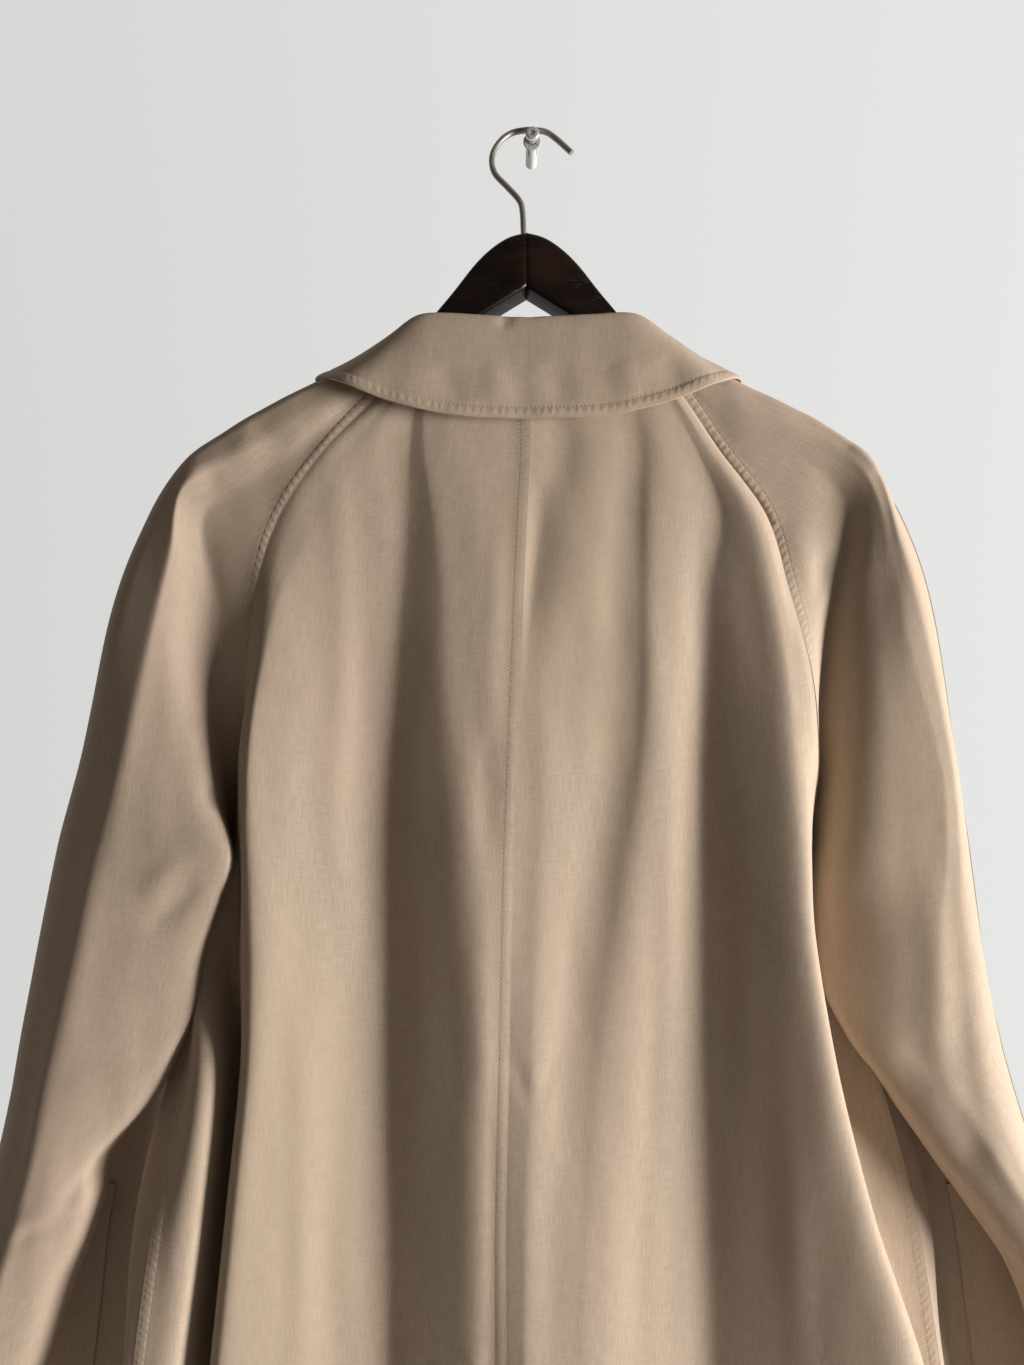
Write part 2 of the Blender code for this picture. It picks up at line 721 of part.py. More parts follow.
def arm_section(x, side, gap):
    top = HANGER.at("top", x)
    bottom = HANGER.at("bottom", x)
    half = HANGER.at("thick", x) / 2
    ring = []
    for k in range(ARM_SIDES):
        angle = 2 * math.pi * k / ARM_SIDES
        across = math.copysign(abs(math.cos(angle)) ** ARM_SQUARENESS, math.cos(angle))
        up = math.copysign(abs(math.sin(angle)) ** ARM_SQUARENESS, math.sin(angle))
        z = (top + bottom) / 2 + (top - bottom) / 2 * up
        ring.append(point(HANGER_CENTRE + side * (x + gap), hanger_off(z, x) + half * across, z))
    return ring


def make_hanger(collection, wood):
    stations = [pair[0] for pair in HANGER.columns["top"]]
    for name, side in (("hanger_left", -1), ("hanger_right", 1)):
        bm = bmesh.new()
        rings = [[bm.verts.new(p) for p in arm_section(x, side, MITRE_GAP)] for x in stations]
        for a, b in zip(rings, rings[1:]):
            for k in range(ARM_SIDES):
                nxt = (k + 1) % ARM_SIDES
                bm.faces.new((a[k], a[nxt], b[nxt], b[k]))
        bm.faces.new(rings[0])
        bm.faces.new(rings[-1])
        bmesh.ops.recalc_face_normals(bm, faces=bm.faces)
        mesh = bpy.data.meshes.new(name)
        bm.to_mesh(mesh)
        bm.free()
        mesh.shade_smooth()
        mesh.set_sharp_from_angle(angle=SHARP_HARD)
        add_object(name, mesh, wood, collection)


def smooth_path(points, steps):
    # a Catmull-Rom curve through the points
    path = []
    for k in range(len(points) - 1):
        p0 = points[max(k - 1, 0)]
        p1 = points[k]
        p2 = points[k + 1]
        p3 = points[min(k + 2, len(points) - 1)]
        for i in range(steps):
            t = i / steps
            path.append(0.5 * (2 * p1 + (p2 - p0) * t + (2 * p0 - 5 * p1 + 4 * p2 - p3) * t * t
                               + (3 * p1 - p0 - 3 * p2 + p3) * t ** 3))
    path.append(points[-1])
    return path


def make_hook(collection, steel):
    points = []
    for x, z in HOOK:
        off = WIRE_REST_OFF + (WIRE_REST_Z - z) * math.tan(HANGER_TILT)
        points.append(point(x, off, z))
    path = smooth_path(points, 3)
    curve = bpy.data.curves.new("hook_wire", "CURVE")
    curve.dimensions = "3D"
    curve.bevel_depth = WIRE_RADIUS
    curve.bevel_resolution = 2
    curve.use_fill_caps = True
    spline = curve.splines.new("POLY")
    spline.points.add(len(path) - 1)
    for target, place in zip(spline.points, path):
        target.co = (*place, 1.0)
    add_object("hook_wire", curve, steel, collection)


def turned(name, profile, material, collection, segments=24):
    # a profile of (radius, y) turned round the screw's axis
    mesh = bpy.data.meshes.new(name)
    bm = bmesh.new()
    rings = []
    for radius, y in profile:
        ring = []
        for k in range(segments):
            angle = 2 * math.pi * k / segments
            ring.append(bm.verts.new((radius * math.cos(angle), y, radius * math.sin(angle))))
        rings.append(ring)
    closed = profile[0][0] > 0 and profile[0] == profile[-1]
    if closed:
        for v in rings[-1]:
            bm.verts.remove(v)
        rings[-1] = rings[0]
    for a, b in zip(rings, rings[1:]):
        for k in range(segments):
            nxt = (k + 1) % segments
            bm.faces.new((a[k], a[nxt], b[nxt], b[k]))
    if not closed:
        bm.faces.new(rings[0])
        bm.faces.new(rings[-1])
    bmesh.ops.recalc_face_normals(bm, faces=bm.faces)
    bm.to_mesh(mesh)
    bm.free()
    mesh.shade_smooth()
    mesh.set_sharp_from_angle(angle=SHARP_HARD)
    return add_object(name, mesh, material, collection)


def make_screw(collection, steel):
    head = SCREW_HEAD_RADIUS
    under = -SCREW_REACH + SCREW_HEAD_HEIGHT
    profile = ((head * 0.6, -SCREW_REACH), (head * 0.88, -SCREW_REACH + 0.0004),
               (head, -SCREW_REACH + 0.0012), (head, under), (SCREW_SHANK_RADIUS, under),
               (SCREW_SHANK_RADIUS, SCREW_DEPTH - 0.004), (0.0008, SCREW_DEPTH))
    turned("wall_screw", profile, steel, collection)


def make_plug(collection, plastic):
    profile = ((PLUG_BORE, -PLUG_COLLAR_HEIGHT), (PLUG_COLLAR_RADIUS, -PLUG_COLLAR_HEIGHT),
               (PLUG_COLLAR_RADIUS, 0.0), (PLUG_RADIUS, 0.0), (PLUG_RADIUS, PLUG_DEPTH),
               (PLUG_BORE, PLUG_DEPTH), (PLUG_BORE, -PLUG_COLLAR_HEIGHT))
    turned("wall_plug", profile, plastic, collection)


def make_buttons(collection, horn):
    # flat discs on the wall side of the left front, where the two fronts lap
    for index, level in enumerate(BUTTON_LEVELS):
        bpy.ops.mesh.primitive_cylinder_add(vertices=20, radius=BUTTON_RADIUS, depth=BUTTON_HEIGHT,
                                            rotation=(math.pi / 2, 0.0, 0.0))
        piece = bpy.context.object
        piece.name = "button_%d" % (index + 1)
        off = FRONT_LEFT_OFF.at("strip", level) * MM
        y = -off + 1.5 * LAY_GAP + BUTTON_HEIGHT / 2
        piece.location = (COAT_CENTRE * MM, y, level * MM)
        piece.data.materials.append(horn)
        piece.users_collection[0].objects.unlink(piece)
        collection.objects.link(piece)


def main():
    clear_scene()
    collection = bpy.data.collections.new(NAME)
    bpy.context.scene.collection.children.link(collection)
    cloth = make_material("beige_gabardine", (0.46, 0.37, 0.27), 0.75)
    wood = make_material("dark_lacquered_wood", (0.03, 0.012, 0.008), 0.2)
    bronze = make_material("bronzed_wire", (0.22, 0.18, 0.14), 0.35, 1.0)
    zinc = make_material("zinc_plate", (0.62, 0.62, 0.6), 0.3, 1.0)
    plastic = make_material("pale_plug", (0.72, 0.7, 0.66), 0.5)
    horn = make_material("brown_button", (0.12, 0.07, 0.04), 0.35)
    panels = make_coat(collection, cloth)
    make_welts(panels, collection, cloth)
    make_collar(collection, cloth)
    make_buttons(collection, horn)
    make_hanger(collection, wood)
    make_hook(collection, bronze)
    make_screw(collection, zinc)
    make_plug(collection, plastic)


main()
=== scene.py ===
import math
import random

import bmesh
import bpy
import numpy as np
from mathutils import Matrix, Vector


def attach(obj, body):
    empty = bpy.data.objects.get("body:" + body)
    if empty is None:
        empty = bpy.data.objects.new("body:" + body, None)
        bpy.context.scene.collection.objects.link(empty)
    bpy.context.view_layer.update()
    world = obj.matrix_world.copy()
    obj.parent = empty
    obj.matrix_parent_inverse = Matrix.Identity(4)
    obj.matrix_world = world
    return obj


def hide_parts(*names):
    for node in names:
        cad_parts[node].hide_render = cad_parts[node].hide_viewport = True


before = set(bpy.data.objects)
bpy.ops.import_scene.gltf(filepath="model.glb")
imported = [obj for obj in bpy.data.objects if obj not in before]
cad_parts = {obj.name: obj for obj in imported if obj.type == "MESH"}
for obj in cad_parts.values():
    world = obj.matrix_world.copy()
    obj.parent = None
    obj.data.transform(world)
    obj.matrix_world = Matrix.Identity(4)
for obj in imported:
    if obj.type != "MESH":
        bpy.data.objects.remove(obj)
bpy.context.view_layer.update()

# A raglan coat, seen from behind, on a contoured hanger whose hook hangs on a screw in the wall.
# +X is to the right, +Y goes into the wall, +Z is up. The cloth, the hanger and the tables are in
# millimetres, the small hard pieces in metres. In a table x/off/z is a place: x, how far off the
# wall, and the height, which is the row's own level where it is left out.

mm = 0.001

clothSizes = {
    "thickness": 1.6,
    "lapRise": 0.28,           # how far a lapped seam stands over its neighbour
    "lapReach": 0.7,           # how far its edge runs over the neighbour
    "lapThin": 0.62,           # the cloth's thickness at that edge
    "lapThinned": (1.0, 4.5),  # where it grows back to its own thickness
    "lapWidth": 6.0,           # from the seam's edge to its row of stitches
    "lapFade": (-3.5, 3.0),    # where the lap falls away, from its row of stitches
    "lapPuff": 0.08,           # how far the lap swells between its edge and the stitches
    "lapGroove": 0.07,         # how deep the stitches draw it in
    "lapGrooveWidth": 0.9,
    "butt": 0.25,              # how far the lower layer stops short of the seam
    "hemRise": 0.5,
    "hemWidth": 26.0,
    "hemFade": 1.5,
    "hemGroove": 0.35,
    "hemGrooveWidth": 2.2,
    "softness": 0.3,           # the height of the cloth's own unevenness
    "turnFade": (0.15, 0.6),   # how squarely the cloth has to face that way for a relief to show
}
neckLevel = -165.0
underarm = -460.0
hemLevel = -1205.0
cuffLevel = -870.0
coatCentre = -3.0


def hermite(knots, values, level):
    # a smooth curve through the values, the same as the solids have
    slopes = np.empty(len(values))
    slopes[1:-1] = (values[2:] - values[:-2]) / (knots[2:] - knots[:-2])
    slopes[0] = (values[1] - values[0]) / (knots[1] - knots[0])
    slopes[-1] = (values[-1] - values[-2]) / (knots[-1] - knots[-2])
    level = np.clip(level, knots[0], knots[-1])
    k = np.clip(np.searchsorted(knots, level, side="right") - 1, 0, len(knots) - 2)
    step = knots[k + 1] - knots[k]
    t = (level - knots[k]) / step
    return (values[k] * (1 + 2 * t) * (1 - t) ** 2 + slopes[k] * step * t * (1 - t) ** 2
            + values[k + 1] * t * t * (3 - 2 * t) + slopes[k + 1] * step * t * t * (t - 1))


class Table:
    # rows of named columns over a level; a dot stands where a column has no value
    def __init__(self, text, turnAt=None):
        lines = [line.split() for line in text.strip().splitlines()]
        self.names = lines[0][1:]
        self.turnAt = turnAt          # the level where the column "seam" may turn sharply
        self.columns = {}
        for index, name in enumerate(self.names, 1):
            cells = [(float(line[0]), line[index].split("/")) for line in lines[1:] if line[index] != "."]
            size = max(len(cell) for level, cell in cells)
            parts = ("X", "Off", "Z")[:size] if size > 1 else ("",)
            for k, part in enumerate(parts):
                pairs = sorted((level, float(cell[k]) if k < len(cell) else level) for level, cell in cells)
                self.columns[name + part] = np.array(pairs).T

    def at(self, name, level):
        knots, values = self.columns[name]
        level = np.asarray(level, float)
        if name.startswith("seam") and self.turnAt is not None:
            upper = knots >= self.turnAt
            lower = knots <= self.turnAt
            return np.where(level >= self.turnAt, hermite(knots[upper], values[upper], level),
                            hermite(knots[lower], values[lower], level))
        return hermite(knots, values, level)

    def spot(self, name, level):
        return places(*[self.at(name + part, level) for part in ("X", "Off", "Z")])


def smoothStep(low, high, value):
    t = np.clip((value - low) / (high - low), 0.0, 1.0)
    return t * t * (3 - 2 * t)


def unit(vectors):
    return vectors / np.maximum(np.linalg.norm(vectors, axis=-1, keepdims=True), 1e-12)


# the fold lines of the back, from its raglan and side seam to the centre seam

backLeft = Table("""
level  seam       ridge      brow       gap          edge       valley    lip       crest     centre
-165   -79/60     -76/60     -73/60     -71/60       -69/60     -66/60    -63/60.5  -60/61    -3/61
-190   -96/62     -92/63     -89/63.5   -85/63.5     -82/64     -74/63    -70/63.7  -66/64.5  -3/64.5
-225   -131/66    -126/66.8  -121/66.8  -115/66.6    -104/66.5  -79/64.5  -73/66    -65/68    -3/67.5
-265   -157/69.6  -152/70.8  -147/71.3  -140/71.3    -127/71    -82/67    -70/69.5  -57/73    -5/72
-310   -170/75    -166/77    -162/78.6  -158/79.5    -150/80    -86/70.5  -68/75.5  -50/80    -7/78.5
-360   -177/73.5  -174/78    -171/82    -168.5/85.5  -163/88    -89/73    -70/80    -48/86.5  -9/84.5
-410   -183/58    -181/70    -179/82    -175.5/89    -169.5/94  -91/73.5  -71/82.5  -45/90.5  -11/89
-460   -193/44    -189/52    -185/62    -180.5/78    -172/97    -92/73    -71/84    -41/94.6  -13/91.5
-500   -203/42    -200/54    -193/56    -184/56      -173/98.5  -92/72.5  -70/84.5  -38/95.5  -14/92.3
-540   -212/48    -209/66    -199/62    -188/50      -172/99    -92/72    -69/84    -36/96    -15/92.7
-600   -216/66    -204/90    -191/88    -186/46      -174/99    -92/71.5  -68/83.5  -34/96    -16/93
-690   -227/89    -211/95    -198.5/92  -194.5/46    -183/99    -92/71    -68/82    -34/94.2  -18/93
-780   -238/94.3  -219/96    -211/92    -202.5/48    -192.5/99  -92/71    -69/81    -36/92    -18/93
-880   -248/93.5  -228/96    -221.5/91  -211/50      -202/99    -92/71    -70/81    -37/92    -19/93
-1040  -266/92.5  -246/95    -237/90    -228/52      -217/98.5  -94/72.5  -73/82    -39/93    -21/93
-1205  -282/91    -262/94    -253/89    -242/54      -228/97    -97/74    -76/83    -41/94    -22/93
""", underarm)
backLeftRound = Table("""
level  seam  ridge  brow  gap  edge  valley  lip  crest  centre
-165   0     0.4    0.4   0.4  0.45  0.5     0.5  0.5    0
-310   0     0.4    0.4   0.4  0.38  0.38    0.5  0.5    0
-460   0     0.4    0.4   0.3  0.22  0.22    0.5  0.45   0
-700   0     0.45   0.3   0.2  0.14  0.18    0.5  0.32   0
-1205  0     0.45   0.3   0.2  0.18  0.24    0.5  0.4    0
""")
backRight = Table("""
level centre   crease   crestA  valleyB crestB  valleyC  lip      rim       edge      gap        seam
-165  -3/61    11/61    28/61   46/60.5 55/60.5 62/60    66/60    68/60     70/60     72/60      73/60
-190  -3/64.5  13/63.5  33/64.5 56/63.5 68/64   78/63.5  82/63.5  85/64     87/63.5   89/63      91/62
-225  -3/67.5  17/65.5  38/68   62/65.5 76/68   99/65.5  104/66.5 108/67    111/66.5  114/65.5   116/63
-265  -5/72    7/70.6   33/72.5 60/69   76/73   112/67   123/70.5 132/72.5  137/71.5  141/69     144/65
-310  -7/78.5  0/76.9   24/79   58/74   76/78   105/70   126/76   141/80    149/78    153/75     156/73
-360  -9/84.5  -4/83.9  12/83.5 57/78.5 76/83.5 103/72.5 127/81.5 148/87.5  157/84.5  163.5/82.5 168/79
-410  -11/89   -4/88.7  9/88    52/80.2 75/86.5 102/74   127/86   151/94    161/90.5  167.5/85   173/77
-460  -13/91.5 -5/91    8/90.5  41/82   71/88   102/74.5 127/88   154/98    164/94.5  169/76     178/46
-520  -15/92.5 -7/92    5/92    29/84   63/88.5 102/74.5 128/88   158/100.5 167/97    171/62     183/44
-600  -16/93   -9/93    2/93.5  22/87   50/89   102/74   129/87.5 169/103   181/99    180/52     212/48
-690  -18/93   -11/93.5 -2/94.5 20/90   41/91   103/72.5 134/85.5 186/104.5 204/102   200/58     237/55.5
-780  -18/93   -11/94   -4/95.5 17/92.5 37/92.5 105/72   139/84.5 204/105.5 233/104.5 230/64     250/63
-880  -19/93   -12/94   -6/96   14/93.5 36/93   106/72   142/84.5 213/106   246/106   243/66     263/67
-1040 -21/93   -14/94   -8/96   12/94   36/93.5 109/74   149/86   226/107   263/107   260/66     282/70
-1205 -22/93   -15/94   -9/95.5 11/94   37/94   112/76   156/88   240/107   279/107   276/66     300/70
""", underarm)
backRightRound = Table("""
level  centre  crease  crestA  valleyB  crestB  valleyC  lip   rim   edge  gap  seam
-165   0       0.4     0.5     0.45     0.5     0.5      0.5   0.5   0.4   0.4  0
-240   0       0.35    0.5     0.4      0.5     0.45     0.5   0.5   0.4   0.4  0
-310   0       0.3     0.5     0.42     0.5     0.26     0.5   0.5   0.4   0.4  0
-460   0       0.4     0.5     0.45     0.5     0.12     0.5   0.5   0.4   0.3  0
-700   0       0.45    0.5     0.48     0.5     0.16     0.5   0.5   0.4   0.3  0
-1205  0       0.45    0.5     0.48     0.5     0.26     0.5   0.5   0.42  0.35 0
""")

# the same for each front, from its side seam to its buttoned edge
frontLeft = Table("""
level  seam       fold       drop       turn     wall     waveA    waveB   strip   middle  edge
-165   -77/30     -74/29     -72/28.5   -70/28   -61/26   -47/23   -33/21  -20/18  -3/18   18/18
-190   -94/27     -90/26     -87/25.5   -84/25   -72/24   -53/23   -35/20  -20/17  -3/17   18/17
-225   -128/25    -121/24    -117/24    -112/24  -92/23   -64/23   -39/19  -20/17  -3/17   18/17
-265   -154/25    -147/23    -142/22.5  -136/22  -112/21  -75/23   -43/18  -20/17  -3/17   18/17
-310   -170/26    -164/23    -160/22    -153/21  -127/20  -85/24   -47/17  -20/17  -3/17   18/17
-360   -180/28    -176/25    -172/23    -167/21  -140/18  -94/25   -50/16  -20/17  -3/17   18/17
-410   -187/32    -184/28    -181/25.5  -177/23  -152/17  -101/26  -53/15  -20/17  -3/17   18/17
-460   -193/44    -192/38    -190/34    -188/29  -166/16  -108/26  -56/14  -20/17  -3/17   18/17
-500   -203/42    -207/37    -209/33    -211/28  -190/15  -117/27  -59/14  -20/17  -3/17   18/17
-540   -212/48    -218/42    -221/35    -225/28  -208/14  -125/27  -62/14  -20/17  -3/17   18/17
-600   -216/66    -226/56    -233/37    -252/28  -236/13  -138/28  -66/13  -20/17  -3/17   18/17
-690   -227/89    -243/81    -249/38    -300/30  -282/12  -154/29  -70/13  -20/17  -3/17   18/17
-780   -238/94.3  -247/92.4  -253/38    -324/31  -305/12  -164/29  -73/13  -20/17  -3/17   18/17
-880   -248/93.5  -259/91    -265/38    -333/32  -314/12  -170/29  -75/13  -20/17  -3/17   18/17
-1040  -266/92.5  -277/90    -283/38    -342/33  -323/12  -178/29  -78/13  -20/17  -3/17   18/17
-1205  -282/91    -294/88    -300/38    -352/33  -333/12  -186/29  -81/13  -20/17  -3/17   18/17
""", underarm)
frontRight = Table("""
level  seam      fold    drop      turn    wall    waveA   waveB  strip  middle  edge
-165   71/30     68/29   66/28.5   64/28   56/26   43/23   30/22  17/21  -3/21   -22/21
-190   89/27     85/26   82/25.5   79/25   67/24   48/22   31/22  17/21  -3/21   -22/21
-225   119/25    113/24  108/24    104/24  86/22   58/21   34/22  17/21  -3/21   -22/21
-265   143/25    137/23  132/22.5  127/22  105/20  69/19   37/22  17/21  -3/21   -22/21
-310   157/28    152/23  147/22    142/21  119/18  78/18   40/23  17/21  -3/21   -22/21
-360   167/33    163/25  159/23    155/21  131/17  86/17   43/24  17/21  -3/21   -22/21
-410   172/38    169/28  166/25    163/22  141/16  93/16   46/25  17/21  -3/21   -22/21
-460   178/44    176/38  174/34    171/29  151/15  99/16   48/26  17/21  -3/21   -22/21
-520   183/44    190/38  193/33    197/27  181/14  110/15  52/27  17/21  -3/21   -22/21
-600   212/48    220/41  226/34    246/28  224/13  128/14  58/28  17/21  -3/21   -22/21
-690   237/55.5  250/48  254/36    300/28  280/12  148/14  62/29  17/21  -3/21   -22/21
-780   250/63    256/57  260/36    338/29  318/12  158/14  65/29  17/21  -3/21   -22/21
-880   263/67    270/62  275/36    343/30  311/12  165/14  67/29  17/21  -3/21   -22/21
-1040  282/70    289/62  294/36    350/31  323/12  173/14  70/29  17/21  -3/21   -22/21
-1205  300/70    307/62  312/36    357/31  335/12  181/14  73/29  17/21  -3/21   -22/21
""", underarm)
frontRound = Table("""
level  seam  fold  drop  turn  wall  waveA  waveB  strip  middle  edge
-165   0     0.4   0.4   0.45  0.5   0.5    0.5    0.3    0.3     0
-1205  0     0.3   0.3   0.45  0.45  0.5    0.5    0.2    0.3     0
""")

# Each sleeve hangs from a ridge over the hanger's arm. "crest" is the fold nearest the camera,
# "wall" the one nearest the wall, and "inner" the underarm seam. "valley" is the dip that
# runs from the shoulder's tip down to the raglan seam.
sleeveLeft = Table("""
level valley         lip              crest            outer            ridge        wall         inner
-165  -82/56/-164    -83.5/54/-163    -85/52.2/-162    -88/48/-160.5    -89/42/-160  -84/34       .
-190  -102/61/-185   -105/61.5/-181.5 -109/60.5/-178   -115/57/-169.8   -116/41/-169 -108/31/-179 .
-225  -133/64/-214   -138/65.5/-207   -143/65/-200     -149.6/60.5/-186 -150/37/-184 -142/23/-203 .
-265  -170/65.5/-244 -177/66/-236     -183/67.5/-226   -187.6/62/-207   -187/34/-204 -179/19/-230 .
-310  -202/66.5/-266 -209/69/-257     -216/71/-248     -220.6/62/-232   -219/31/-222 -213/16/-260 .
-360  -198/69/-316   -213/74.5/-303   -222/77.8/-290   -243/66/-271     -246/35/-261 -241/17/-304 .
-410  -201/72/-366   -216/80.6/-356   -232.5/83.8/-343 -261/72/-326     -267/39/-316 -262/15/-353 .
-460  -190/84/-438   -202/90/-433     -248.5/91/-425   -279/72/-414     -288/41/-408 -281/14/-430 -192/44
-480  -178.5/91/-472 -190/94/-469     -256.5/92/-459   -287/72/-445     -295/41/-436 -288/14/-455 -194/47
-500  -187/88/-498   -201/92/-496     -263.5/92/-487   -294/71/-473     -303/42/-466 -295/14/-479 -197/52
-535  -201/84        -212/89/-534     -274.5/90/-530   -305/70/-524     -314/42/-520 -306/14/-527 -204/57
-575  -209/80        -221/86          -284.5/90        -315/70          -324/42      -316/14      -211/60
-603  -222/80        -232/86          -291/90          -320/70          -329/42      -321/14      -222/60
-626  -236/80        -245/86          -296/91          -324/70          -333/42      -325/15      -235/60
-661  -267/80        -273/86          -304/90          -332/69          -341/42      -333/15      -263/60
-683  -268/79        -276/86          -309/90          -339/69          -348/42      -340/15      -266/60
-709  -277/79        -286/85          -316/90          -349/68          -358/42      -349/15      -273/60
-735  -289/78        -297/85          -324/89          -359/68          -368/42      -359/15      -284/60
-780  -303/77        -312/84          -338/88          -376/71          -386/42      -377/15      -299/60
-870  -337/75        -345/81          -372/85          -408/69          -422/42      -413/15      -333/60
""")
sleeveRight = Table("""
level  valley         lip             crest          outer            ridge          wall         inner
-165   74.5/56/-164   75/54/-163      76/52/-162     79/48/-160.5     80/42/-160     75/34        .
-190   94/61/-185     97/61.5/-181.5  100/60.5/-178  107/57/-170      108/41/-168    99/31/-179   .
-225   123/64/-213    128/65/-206     134/65/-199    141/60.5/-186    142/37/-182.5  134/23/-202  .
-265   169/65.5/-235  174/66.5/-227   179/66.5/-219  180/62.5/-206    181/34/-202    173/19/-229  .
-310   194/61.5/-269  202/68.5/-257   207/71/-246    211.5/69/-234    213/31/-221    207/16/-260  .
-360   185/58.5/-327  199/73/-312     218/77/-300    224.5/76.3/-274  238/35/-261    233/17/-304  .
-410   177/55/-388    199/79/-370     226.5/82/-348  239.5/80.8/-328  256/39/-316    250/15/-353  .
-460   174/47/-456    191/81/-449     245/84.2/-424  255.5/82.2/-418  270/41/-408    264/14/-430  178/42
-490   171/52/-489    189/80/-484     247/85.4/-470  261/82.4/-464    277/42/-455    271/14/-467  178/46
-520   172/56/-519    194/77/-516     243/87/-513    266/83/-505      283/42/-500    277/14/-505  178/50
-560   178/66         200/78          242/87         275.5/83.4       291/42         285/14       183/54
-590   194/72         208/80          242/86         281/83.5         298/42         291/14       196/58
-610   211/74         222/81          250/86         285/83.5         303/42         296/15       211/60
-660   247/74         257/82          280/87         299/83.5         318/42         310/15       245/60
-690   271/74         280/82          300/86         315/83           331/42         322/15       267/60
-730   299/74         307/81          325/85         334/79           348/42         339/15       294/60
-800   325/73         333/80          350/85         366/77           378/42         369/15       321/60
-870   349/72         357/79          372/83         394/70           406/42         397/15       346/60
""")
sleeveBackRound = Table("""
level  back  valley  lip  crest  outer  ridge
-165   0     0.5     0.5  0.5    0.4    0
-265   0     0.42    0.5  0.3    0.35   0
-310   0     0.35    0.5  0.14   0.35   0
-460   0     0.3     0.5  0.1    0.4    0
-540   0     0.4     0.5  0.14   0.45   0
-870   0     0.4     0.5  0.14   0.45   0
""")
sleeveFrontRound = Table("""
level  ridge  far   wall  front
-165   0      0.4   0.45  0
-870   0      0.4   0.45  0
""")

# The collar from the centre back, round one side, to the centre front. "facing" is the way that
# the fall looks: 0 is towards the camera and 180 towards the wall. x is from the coat's centre.
collarTable = Table("""
station  facing  seam          fold            edge
0        0       0/61/-168     0/58.5/-142.6   0/77/-208
1        0       34/61/-167    36/58.5/-140.4  45/77/-206
2        8       66/60/-164    66/57.5/-140    85/76/-197
3        50      80/56/-160    82/54/-150      118/71/-183
4        90      87/42/-159.6  93/42/-156      137/42/-173.5
5        120     83/34/-160    90/32/-158      134/20/-181
6        155     71/27/-171    82/23/-167      118/16/-209
7        175     48/22/-191    58/18/-181      97/12/-237
8        180     4/19/-213     4/16/-198       58/12/-266
""")
neckSizes = {"shoulderStation": 4, "lastStation": 8, "ease": 1.1, "backReach": -225.0,
             "frontReach": -360.0, "frontPower": 1.6}

# how many cells stand between one fold line and the next
panelCells = {
    "backLeft": (8, 5, 6, 7, 26, 11, 14, 16),
    "backRight": (7, 8, 14, 12, 14, 13, 12, 8, 6, 8),
    "front": (5, 4, 12, 7, 16, 12, 6, 4, 5),
    "sleeveBack": (9, 9, 12, 14, 10),
    "sleeveFront": (5, 10, 20),
}
rowSteps = {"raglan": 3.0, "body": 5.2, "sleeve": 3.6}     # mm from one row to the next


def even(high, low, step):
    return np.linspace(high, low, int(round((high - low) / step)) + 1)


raglanLevels = even(neckLevel, underarm, rowSteps["raglan"])
bodyLevels = np.concatenate([raglanLevels, even(underarm, hemLevel, rowSteps["body"])[1:]])
sleeveLevels = np.concatenate([raglanLevels, even(underarm, cuffLevel, rowSteps["sleeve"])[1:]])
underarmRow = len(raglanLevels) - 1


def neckSeam(x, near, far):
    # the height of the collar's seam over x, on the way from one station to the other
    stations = np.linspace(near, far, 400)
    reach = collarTable.at("seamX", stations)
    height = collarTable.at("seamZ", stations)
    order = np.argsort(reach)
    return np.interp(np.abs(x - coatCentre), reach[order], height[order]) - neckSizes["ease"]


def fade(level, low):
    return np.clip((level - low) / (neckLevel - low), 0.0, 1.0)


def backShift(x, level):
    return (neckSeam(x, 0, neckSizes["shoulderStation"]) - neckLevel) * fade(level, neckSizes["backReach"])


def frontShift(x, level):
    share = fade(level, neckSizes["frontReach"]) ** neckSizes["frontPower"]
    return (neckSeam(x, neckSizes["lastStation"], neckSizes["shoulderStation"]) - neckLevel) * share


def places(x, off, z):
    return np.stack([x, -off, z], axis=-1)


def lengthsAlong(path):
    return np.concatenate([[0.0], np.cumsum(np.linalg.norm(np.diff(path, axis=0), axis=1))])


def spreadAlong(path, cells):
    lengths = lengthsAlong(path)
    targets = np.linspace(0.0, lengths[-1], cells + 1)
    return np.stack([np.interp(targets, lengths, path[:, i]) for i in range(3)], axis=-1)


def roundedRow(corners, rounds, cells, curveSteps=9):
    # straight flanks between the corners, with each corner rounded off
    half = np.linspace(0.0, 0.5, curveSteps)[:, None]

    def bend(before, corner, after, t):
        return before * (1 - t) ** 2 + corner * (2 * t * (1 - t)) + after * t * t

    row = [corners[:1]]
    for k in range(len(corners) - 1):
        a, b = corners[k], corners[k + 1]
        path = [a[None]]
        if rounds[k] > 0:
            path = [bend(a + (corners[k - 1] - a) * rounds[k], a, a + (b - a) * rounds[k], half + 0.5)]
        if rounds[k + 1] > 0:
            path.append(bend(b + (a - b) * rounds[k + 1], b,
                             b + (corners[k + 2] - b) * rounds[k + 1], half))
        else:
            path.append(b[None])
        row.append(spreadAlong(np.concatenate(path), cells[k])[1:])
    return np.concatenate(row)


def foldedGrid(corners, rounds, cells):
    # corners: one list of places for each row
    return np.stack([roundedRow(corners[r], rounds[r], cells) for r in range(len(corners))])


def bodyGrid(table, roundTable, shift, cells):
    corners = []
    rounds = []
    for name in table.names:
        x = table.at(name + "X", bodyLevels)
        corners.append(places(x, table.at(name + "Off", bodyLevels), bodyLevels + shift(x, bodyLevels)))
        rounds.append(roundTable.at(name, bodyLevels))
    return foldedGrid(np.stack(corners, axis=1), np.stack(rounds, axis=1), cells)


